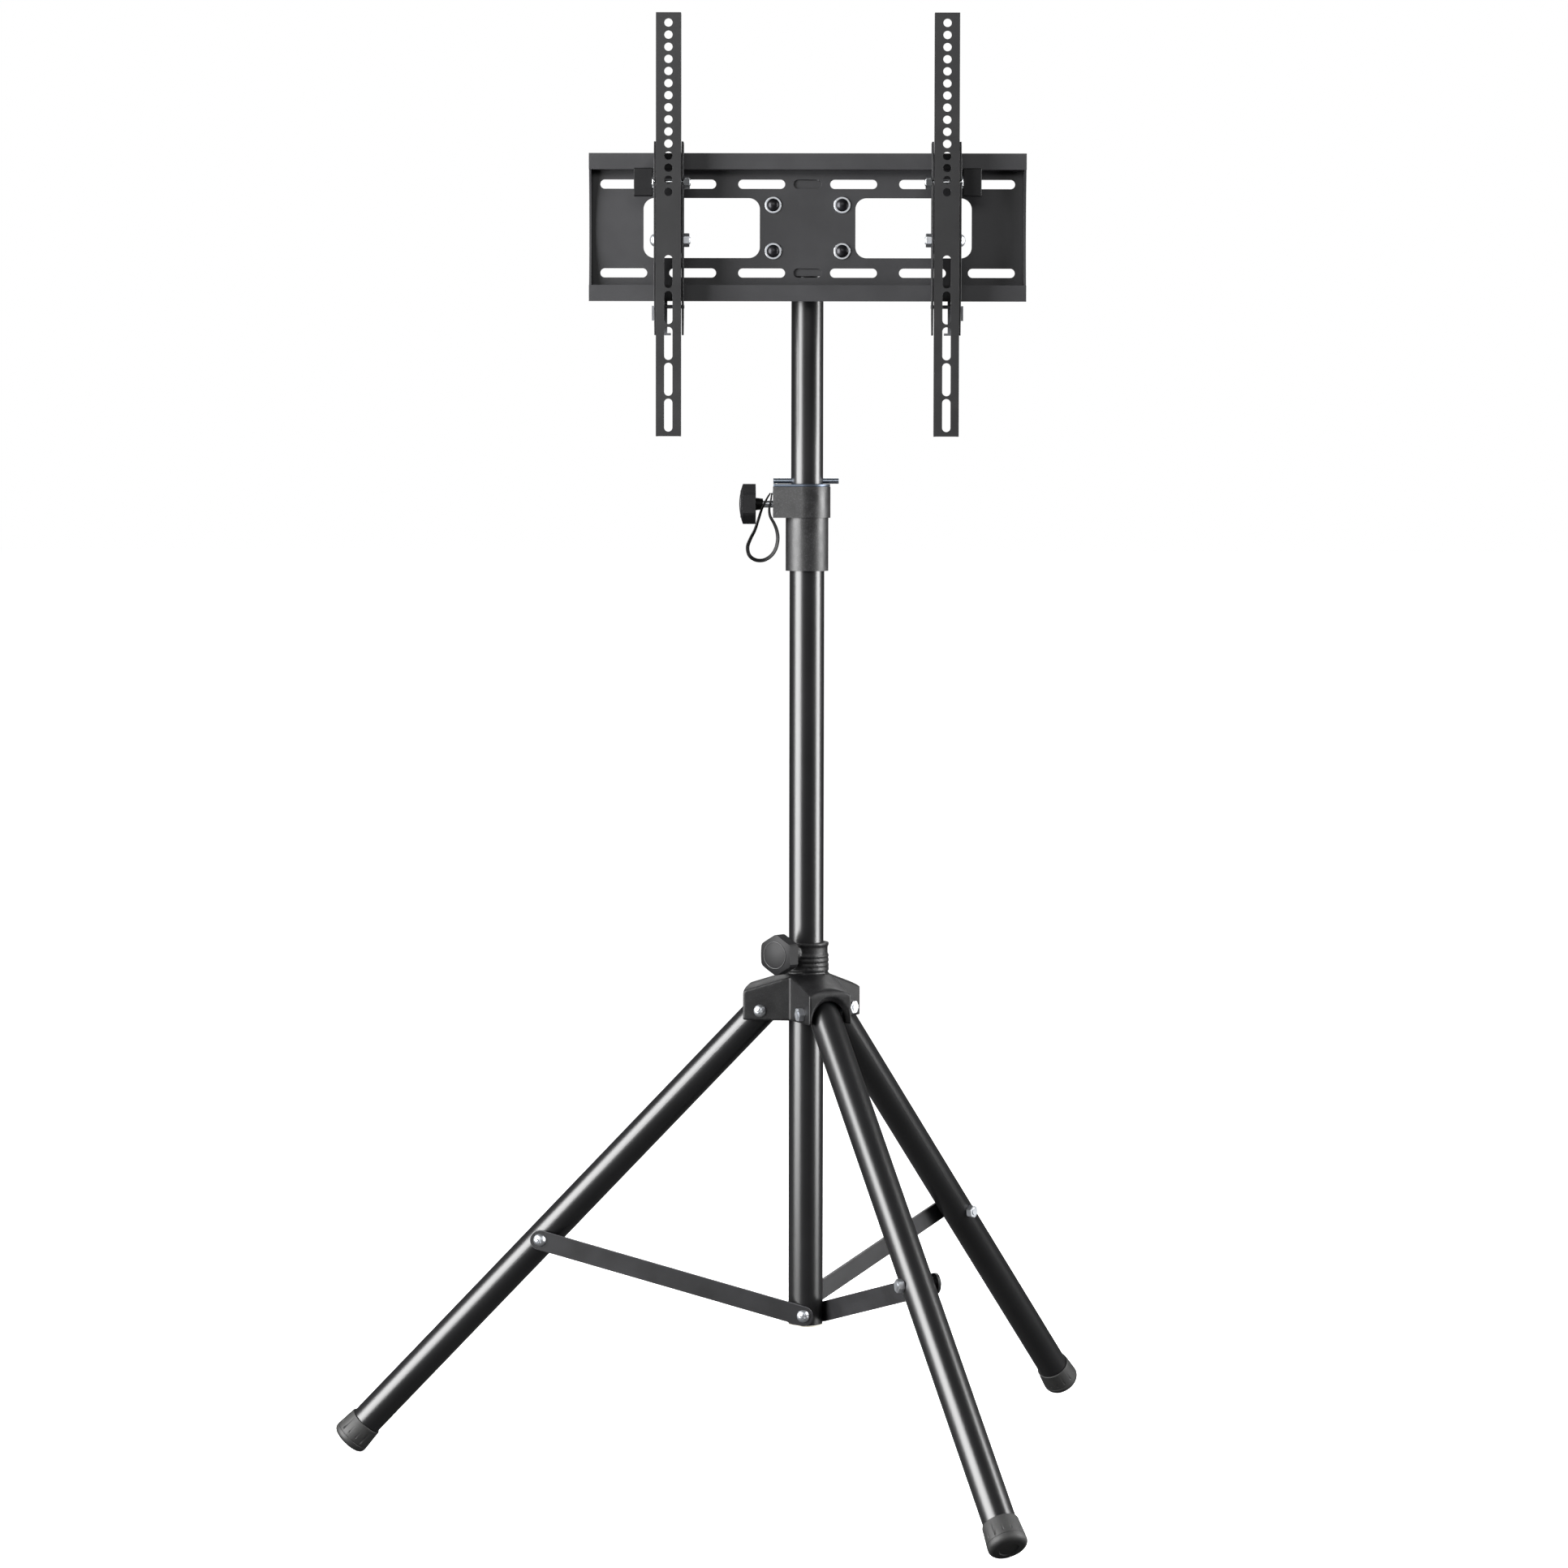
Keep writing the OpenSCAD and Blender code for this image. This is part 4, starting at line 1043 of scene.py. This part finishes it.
@dataclass
class Tether:
    """The strap that keeps the pin with the collar, and its rivet, in millimetres and degrees.

    Its corners are rounded by corner_share of its thickness. It turns to most_twist, faster from its
    ends by twist_rate.
    """

    width: float = 4.4
    thick: float = 1.6
    corner_share: float = 0.35
    steps_between: int = 7
    most_twist: float = 52.0
    twist_rate: float = 3.2
    route: tuple[tuple[float, float, float], ...] = (
        (-40.3, -9, 1072), (-44, -10, 1066), (-49, -11, 1056), (-53, -11, 1044), (-57, -10, 1032),
        (-62, -9, 1022), (-65, -8, 1013), (-63, -7, 1004), (-56, -6, 999), (-47, -6, 999),
        (-39, -7, 1004), (-34, -8, 1012), (-32, -9, 1022), (-33, -10, 1031), (-36, -11, 1039),
        (-40.3, -11.5, 1047), (-41.3, -11.3, 1055), (-39.7, -10.4, 1063.5), (-38.6, -9, 1072),
    )

    def line(self) -> list[Vector]:
        """Gives the strap's centreline as one smooth curve through the route.

        Returns:
            Points in metres, close together.
        """
        stops = [Vector(p) * MM for p in self.route]
        padded = [2 * stops[0] - stops[1], *stops, 2 * stops[-1] - stops[-2]]
        points = []
        for a, b, c, d in zip(padded, padded[1:], padded[2:], padded[3:]):
            for k in range(self.steps_between):
                t = k / self.steps_between
                bend, swing = 2 * a - 5 * b + 4 * c - d, 3 * b - a - 3 * c + d
                points.append(0.5 * ((2 * b) + (c - a) * t + bend * t * t + swing * t**3))
        return points + [stops[-1]]

    def section(self) -> list[tuple[float, float]]:
        """Gives the strap's outline across, a flat bar with round corners."""
        corner = self.corner_share * self.thick
        outline = []
        for quarter in range(4):
            wide = (1 if quarter in (0, 3) else -1) * (self.width / 2 - corner)
            thin = (1 if quarter in (0, 1) else -1) * (self.thick / 2 - corner)
            outline += rounded((wide, thin), corner, 90 * quarter, 90 * quarter + 90, 3)
        return [(a * MM, b * MM) for a, b in outline]

    def build(self) -> list[bpy.types.Object]:
        """Returns:
            The strap; the rivet keeps its CAD shape and only takes the zinc finish.
        """
        line, outline = self.line(), self.section()
        shape = bmesh.new()
        lay = shape.loops.layers.uv.new("lay")
        rings, run, runs = [], 0.0, []
        for i, point in enumerate(line):
            ahead = (line[min(i + 1, len(line) - 1)] - line[max(i - 1, 0)]).normalized()
            wide = (Vector((0, 1, 0)) - ahead * ahead.y).normalized()
            twist = self.most_twist * min(1.0, self.twist_rate * min(i, len(line) - 1 - i) / len(line))
            wide = Matrix.Rotation(math.radians(twist), 3, ahead) @ wide
            thin = ahead.cross(wide)
            rings.append([shape.verts.new(point + wide * a + thin * b) for a, b in outline])
            run += (point - line[i - 1]).length if i else 0.0
            runs.append(run)
        count = len(outline)
        for i in range(len(rings) - 1):
            for k in range(count):
                n = (k + 1) % count
                face = shape.faces.new((rings[i][k], rings[i][n], rings[i + 1][n], rings[i + 1][k]))
                for loop, (u, v) in zip(face.loops, ((k, i), (k + 1, i), (k + 1, i + 1), (k, i + 1))):
                    loop[lay].uv = (outline[u % count][0] / (self.width * MM) + 0.5, runs[v])
        shape.faces.new(reversed(rings[0]))
        shape.faces.new(rings[-1])
        mesh = outward_mesh("tether_strap_finished", shape)
        mesh.materials.append(STRAP.material())
        strap = shown(mesh.name, mesh)
        smooth(strap, 50)
        dress(strap, "mast", STRAP, "tether_strap")
        coat("tether_rivet", ZINC)
        return [strap]


@dataclass
class ClampKnob:
    """A hand knob with a domed face, a hexagon grip and a neck down to its insert, in millimetres.

    A low bead runs round the face; crown is where the face is highest and outwards is the knob's axis.
    """

    prefix: str
    crown: tuple[float, float, float]
    outwards: tuple[float, float, float]
    grip_r: float = 22.0
    dome: float = 4.0
    bead_at: float = 14.6
    bead_r: float = 0.75
    bead_sunk: float = 0.3
    rounding: float = 1.2

    def bead(self) -> bpy.types.Object:
        """Makes the bead, a half-round ring that follows the dome.

        Returns:
            The bead.
        """
        ball = (self.grip_r**2 + self.dome**2) / (2 * self.dome)
        drop = ball - math.sqrt(ball**2 - self.bead_at**2)
        ring = rounded((self.bead_at, -drop - self.bead_sunk), self.bead_r, 0, 340, 17)
        mesh = turned([(r * MM, z * MM) for r, z in ring], 96, True)
        turn = Vector(self.outwards).to_track_quat("Z", "Y").to_matrix().to_4x4()
        mesh.transform(Matrix.Translation(Vector(self.crown) * MM) @ turn)
        # The bead takes the knobs' lighter edge tone: a painted highlight round the face
        mesh.materials.append(KNOB_EDGE_HIGHLIGHT.material())
        piece = shown(self.prefix + "_knob_bead", mesh)
        smooth(piece, 60)
        return dress(piece, frame["nodes"][self.prefix + "_knob_head"]["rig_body"], KNOB_ABS)

    def build(self) -> list[bpy.types.Object]:
        """Dresses the knob's head and screw.

        Returns:
            The finished pieces.
        """
        return [
            refine(self.prefix + "_knob_head", KNOB_ABS, KNOB_EDGE_HIGHLIGHT, self.rounding),
            self.bead(),
            refine(self.prefix + "_knob_screw", ZINC, width_mm=0.3),
        ]


@dataclass
class Legs:
    """Three tubular legs with rubber feet and flat braces, in millimetres.

    A foot's sole is hollowed by sole_hollow inside a land sole_land wide. groove says how far inside
    foot_r each corner of the groove above the sole lies, and how high.
    """

    stance: Stance
    fasteners: Fasteners
    tube_r: float = 17.5
    foot_r: float = 21.0
    rim_r: float = 19.3
    foot_length: float = 31.0
    sole_edge: float = 6.0
    sole: float = 5.0
    sole_hollow: float = 0.8
    sole_land: float = 5.0
    groove: tuple[tuple[float, float], ...] = ((0.05, 8.2), (0.45, 8.6), (0.45, 9.4), (0.15, 9.8))
    lip: float = 0.9
    tube_fit: float = 0.05
    mouth: tuple[float, float] = (0.3, 0.5)
    flutes: int = 14
    flute_r: float = 1.9
    flute_stand_off: float = 0.95
    flute_base: float = 14.0
    flute_length: float = 11.5
    brace_thick: float = 3.0

    def foot(self, number: int, tree: FlutedBody) -> bpy.types.Object:
        """Makes a foot: a turned cup with a round sole, a lip and grip flutes.

        Args:
            number: The leg, from 1 to 3.
            tree: The tree that cuts the flutes.

        Returns:
            The foot.
        """
        bore, flat, top = self.tube_r + self.tube_fit, self.foot_r - self.sole_edge, self.foot_length
        wide, deep = self.mouth
        profile = [(0.0, self.sole_hollow), (flat - self.sole_land, self.sole_hollow)]
        profile += [(flat - self.sole_land + self.sole_hollow, 0.0)]
        profile += rounded((flat, self.sole_edge), self.sole_edge, -90, 0, 9)
        profile += [(self.foot_r - inside, height) for inside, height in self.groove]
        profile += rounded((self.rim_r - self.lip, top - self.lip), self.lip, 0, 90, 5)
        profile += [(bore + wide, top), (bore, top - deep), (bore, self.sole), (0.0, self.sole)]
        mesh = turned([(r * MM, z * MM) for r, z in profile], 112, False)
        sizes = {
            "Flutes": self.flutes,
            "Flute radius": self.flute_r * MM,
            "Flute centre": (self.foot_r + self.flute_stand_off) * MM,
            "Flute base": self.flute_base * MM,
            "Flute length": self.flute_length * MM,
        }
        node = f"leg_foot_{number}"
        piece = tree.bake(node + "_finished", mesh, sizes, FOOT_RUBBER)
        leg = self.stance.leg(number)
        piece.data.transform(leg.to_3x3().to_4x4())
        piece.data.transform(Matrix.Translation((leg @ Vector((0, 0, -self.stance.leg_length))) * MM))
        smooth(piece, 32)
        return dress(piece, f"leg_{number}", FOOT_RUBBER, node)

    def build(self) -> list[bpy.types.Object]:
        """Dresses the legs, feet, braces and their bolts.

        Returns:
            The finished pieces.
        """
        fluted = FlutedBody()
        pieces = []
        s, f = self.stance, self.fasteners
        for number in (1, 2, 3):
            bolt = s.leg(number) @ Matrix.Translation((0, s.brace_face + f.fit, -s.brace_station)) @ OUTWARDS
            nut = s.leg(number) @ Matrix.Translation((0, -self.tube_r - f.fit, -s.brace_station)) @ INWARDS
            end = s.brace(number) @ Matrix.Translation((0, s.brace_face + f.fit, -s.brace_length)) @ OUTWARDS
            pieces += [
                refine(f"leg_tube_{number}", TUBE_PAINT, width_mm=0.4),
                self.foot(number, fluted),
                refine(f"brace_bar_{number}", BAR_PAINT, BAR_EDGE_HIGHLIGHT, 0.5),
                f.bolt_row(f"brace_bolt_{number}", [bolt], f.through(s.brace_face + self.tube_r)),
                f.nut_row(f"brace_nut_{number}", [nut]),
                f.bolt_row(f"brace_end_bolt_{number}", [end], self.brace_thick),
            ]
        return pieces


@dataclass
class Hub:
    """The sliding hub: three hooded arms, a ribbed sleeve, leg pivots and a clamp knob, in millimetres.

    Each arm's mouth flares over flare_deep, from the tunnel's half-width to flare_w, and up to flare_top.
    The cutter goes on for flare_past beyond the arm. The hub is rounded all over on a grid of grid_mm.
    """

    stance: Stance
    fasteners: Fasteners
    half_width: float = 25.0
    arm_r: float = 67.0
    tunnel_r: float = 19.4
    tunnel_slope: float = 30.0
    tunnel_axis: float = -11.1
    flare_deep: float = 5.5
    flare_w: float = 23.4
    flare_top: float = 20.2
    flare_past: float = 3.0
    arch_steps: int = 40
    grid_mm: float = 1.1
    knob_crown: tuple[float, float, float] = (-35.48, -47.95, 568.5)
    knob_outwards: tuple[float, float, float] = (-0.5948, -0.8039, 0.0)

    def flare(self, number: int) -> bpy.types.Mesh:
        """Makes the cutter that flares one arm's mouth: an arch that widens outwards.

        Args:
            number: The leg, from 1 to 3.

        Returns:
            The cutter, closed.
        """
        rise = math.tan(math.radians(self.tunnel_slope))
        stations = []
        for beyond in (-self.flare_deep, 0.0, self.flare_past):
            share = 1 + beyond / self.flare_deep
            axis = self.tunnel_axis - beyond * rise
            wide = self.tunnel_r + (self.flare_w - self.tunnel_r) * share
            tight = self.tunnel_r / math.cos(math.radians(self.tunnel_slope))
            high = tight + (self.flare_top - self.tunnel_axis - tight) * share
            angles = [math.pi * k / self.arch_steps for k in range(self.arch_steps + 1)]
            arch = [(self.arm_r + beyond, wide * math.cos(a), axis + high * math.sin(a)) for a in angles]
            foot = self.tunnel_axis - self.half_width
            stations.append([(arch[0][0], wide, foot), *arch, (arch[0][0], -wide, foot)])
        shape = bmesh.new()
        rings = [[shape.verts.new(Vector(p)) for p in station] for station in stations]
        for near, beyond in zip(rings, rings[1:]):
            for k, corner in enumerate(near):
                n = (k + 1) % len(near)
                shape.faces.new((corner, near[n], beyond[n], beyond[k]))
        shape.faces.new(rings[0])
        shape.faces.new(rings[-1])
        mesh = outward_mesh("flare", shape)
        up = Matrix.Translation((0, 0, self.stance.pivot_z))
        mesh.transform(Matrix.Scale(MM, 4) @ self.stance.plane(number) @ up)
        mesh.materials.append(NYLON.material())
        return mesh

    def build(self) -> list[bpy.types.Object]:
        """Dresses the hub and its fasteners.

        Returns:
            The finished pieces.
        """
        s, f = self.stance, self.fasteners
        pivots = [s.plane(n) @ Matrix.Translation((s.pivot_r, 0, s.pivot_z)) for n in (1, 2, 3)]
        shift = Matrix.Translation((0, self.half_width + f.fit, 0))
        back = Matrix.Translation((0, -self.half_width - f.fit, 0))
        return [
            refine("hub", NYLON, cutters=[self.flare(n) for n in (1, 2, 3)], grid_mm=self.grid_mm),
            refine("hub_insert", BRASS, width_mm=0.3),
            f.bolt_row("hub_bolts", [p @ shift @ OUTWARDS for p in pivots], f.through(2 * self.half_width)),
            f.nut_row("hub_nuts", [p @ back @ INWARDS for p in pivots]),
            *ClampKnob("hub", self.knob_crown, self.knob_outwards).build(),
        ]


@dataclass
class LowerMast:
    """The lower pole with its collar, and what is in them, in millimetres."""

    knob_crown: tuple[float, float, float] = (-74.3, 0.0, 1060.24)
    knob_outwards: tuple[float, float, float] = (-1.0, 0.0, 0.0)

    def build(self) -> list[bpy.types.Object]:
        """Dresses the lower pole, the collar and the collar's knob.

        Returns:
            The finished pieces.
        """
        for node in ("pole_end_plug", "collar_bush"):
            coat(node, WHITE_NYLON)
        return [
            refine("lower_pole", TUBE_PAINT, width_mm=0.4),
            refine("pole_collar", WORN_NYLON, WORN_NYLON_EDGE_HIGHLIGHT, 0.8),
            refine("collar_wear_plate", BLUED, width_mm=0.5),
            refine("collar_insert", BRASS, width_mm=0.3),
            *ClampKnob("collar", self.knob_crown, self.knob_outwards).build(),
        ]


@dataclass
class UpperMast:
    """The sliding pole with the wall plate that it carries."""

    def build(self) -> list[bpy.types.Object]:
        """Dresses the upper pole, its cap and adapter, the wall plate and the pin.

        Returns:
            The finished pieces.
        """
        coat("pole_glide", WHITE_NYLON)
        return [
            refine("upper_pole", TUBE_PAINT, width_mm=0.3),
            refine("pole_top_cap", KNOB_ABS, width_mm=0.6),
            refine("pole_adapter", SHEET_PAINT, SHEET_EDGE_HIGHLIGHT, 0.6),
            refine("wall_plate", SHEET_PAINT, SHEET_EDGE_HIGHLIGHT, 0.6),
            refine("pole_screws", BLACKENED, width_mm=0.4),
            refine("pole_washers", ZINC, width_mm=0.3),
            refine("pole_nuts", ZINC, width_mm=0.3),
            refine("locking_pin", PIN_STEEL, width_mm=0.5),
        ]


@dataclass
class TiltingArm:
    """One slotted screen arm with its hook bracket, tilt clamp and latch."""

    side: Side

    def build(self) -> list[bpy.types.Object]:
        """Dresses this side's arm and everything that hangs with it.

        Returns:
            The finished pieces.
        """
        s = self.side.value
        return [
            refine(f"arm_{s}", SHADED_ARM_PAINT, SHADED_ARM_EDGE_HIGHLIGHT, 0.6),
            refine(f"hook_bracket_{s}", SHADED_ARM_PAINT, SHADED_ARM_EDGE_HIGHLIGHT, 0.5),
            refine(f"tilt_pivot_bolt_{s}", ZINC, width_mm=0.3),
            refine(f"tilt_pivot_nut_{s}", ZINC, width_mm=0.3),
            refine(f"tilt_nut_{s}", CHROME, width_mm=0.3),
            refine(f"tilt_screw_{s}", CHROME, width_mm=0.3),
            refine(f"tilt_knob_{s}", KNOB_ABS, width_mm=1.4),
            refine(f"latch_{s}", TAB_GREY, width_mm=0.4),
        ]


# ---- Studio -----------------------------------------------------------------------------


@dataclass
class Softbox:
    """A large soft light that looks at the stand's middle, in metres and watts."""

    name: str
    at: tuple[float, float, float]
    wide: float
    high: float
    power: float
    aim: tuple[float, float, float] = (0.0, 0.0, 0.9)

    def build(self) -> None:
        """Hangs the light."""
        lamp = bpy.data.lights.new(self.name, "AREA")
        lamp.shape = "RECTANGLE"
        lamp.size, lamp.size_y, lamp.energy = self.wide, self.high, self.power
        stand = bpy.data.objects.new(self.name, lamp)
        stand.location = self.at
        stand.rotation_euler = (Vector(self.aim) - Vector(self.at)).to_track_quat("-Z", "Y").to_euler()
        bpy.context.scene.collection.objects.link(stand)


@dataclass
class Studio:
    """A pale floor, soft light and the camera, in metres and degrees."""

    camera_at: tuple[float, float, float] = (-0.0008, -5.1902, 1.096)
    camera_turn: tuple[float, float, float] = (87.1663, -0.0988, 0.2708)
    lens: float = 108.654
    lens_drop: float = -0.05
    sensor: float = 36.0
    sight: float = 200.0
    floor_size: float = 120.0
    floor_glow: float = 0.93
    bounce: float = 0.06
    fill: float = 0.1

    def camera(self) -> None:
        """Sets the camera up in front of the stand, about level with the pole's collar."""
        eye = bpy.data.cameras.new("stand_camera")
        eye.lens, eye.sensor_width = self.lens, self.sensor
        eye.clip_end = self.sight
        eye.shift_y = self.lens_drop
        holder = bpy.data.objects.new("stand_camera", eye)
        holder.location = self.camera_at
        holder.rotation_euler = [math.radians(a) for a in self.camera_turn]
        bpy.context.scene.collection.objects.link(holder)
        bpy.context.scene.camera = holder

    def floor(self) -> None:
        """Lays the pale floor, which glows where it is seen but lights nothing from below."""
        half = self.floor_size / 2
        mesh = bpy.data.meshes.new("studio_floor")
        corners = [(-half, -half, 0), (half, -half, 0), (half, half, 0), (-half, half, 0)]
        mesh.from_pydata(corners, [], [(0, 1, 2, 3)])
        floor = shown("studio_floor", mesh)
        paper = bpy.data.materials.new("studio_paper")
        paper.use_nodes = True
        tree = paper.node_tree
        tree.nodes.clear()
        seen = add(tree, "ShaderNodeLightPath").outputs["Is Camera Ray"]
        glow = add(tree, "ShaderNodeMath", {0: seen, 1: self.floor_glow}, operation="MULTIPLY")
        paper_white = add(tree, "ShaderNodeMapRange", {"Value": seen, "To Min": self.bounce, "To Max": 0.8})
        shader = add(
            tree,
            "ShaderNodeBsdfPrincipled",
            {
                "Base Color": paper_white,
                "Roughness": 0.9,
                "Specular IOR Level": 0.1,
                "Emission Color": linear("#ffffff"),
                "Emission Strength": glow,
            },
        )
        add(tree, "ShaderNodeOutputMaterial", {"Surface": shader})
        mesh.materials.append(paper)

    def light(self) -> None:
        """Lights the stand: a tall softbox on each side, a high one in front and behind, a white surround."""
        for box in (
            Softbox("softbox_left", (-2.15, -1.2, 1.25), 1.9, 2.8, 340.0),
            Softbox("softbox_right", (2.4, -0.35, 1.25), 1.2, 2.8, 220.0),
            Softbox("softbox_front", (0.0, -4.6, 3.0), 3.2, 1.4, 60.0, (0.0, 0.0, 1.2)),
            Softbox("softbox_back", (0.0, 2.6, 2.6), 3.0, 1.2, 40.0),
        ):
            box.build()
        scene = bpy.context.scene
        scene.world = bpy.data.worlds.new("studio_surround")
        scene.world.use_nodes = True
        tree = scene.world.node_tree
        tree.nodes.clear()
        seen = add(tree, "ShaderNodeLightPath").outputs["Is Camera Ray"]
        strength = add(tree, "ShaderNodeMapRange", {"Value": seen, "To Min": self.fill, "To Max": 1.0})
        surround = add(tree, "ShaderNodeBackground", {"Color": linear("#ffffff"), "Strength": strength})
        add(tree, "ShaderNodeOutputWorld", {"Surface": surround})
        scene.view_settings.view_transform = "Standard"

    def build(self) -> None:
        """Sets the floor and the lights; the camera is there already."""
        self.floor()
        self.light()


# ---- Making -----------------------------------------------------------------------------


def main() -> None:
    """Builds the camera and the tether first, then every sub-assembly from the floor up."""
    logging.basicConfig(level=logging.INFO, format="%(name)s: %(message)s")
    studio, stance = Studio(), Stance()
    studio.camera()
    fasteners = Fasteners()
    makers = [
        Tether(),
        Legs(stance, fasteners),
        Hub(stance, fasteners),
        LowerMast(),
        UpperMast(),
        TiltingArm(Side.LEFT),
        TiltingArm(Side.RIGHT),
    ]
    for maker in makers:
        for piece in maker.build():
            LOG.info("%s: %s, %d faces", type(maker).__name__, piece.name, len(piece.data.polygons))
    studio.build()


if __name__ == "__main__":
    main()
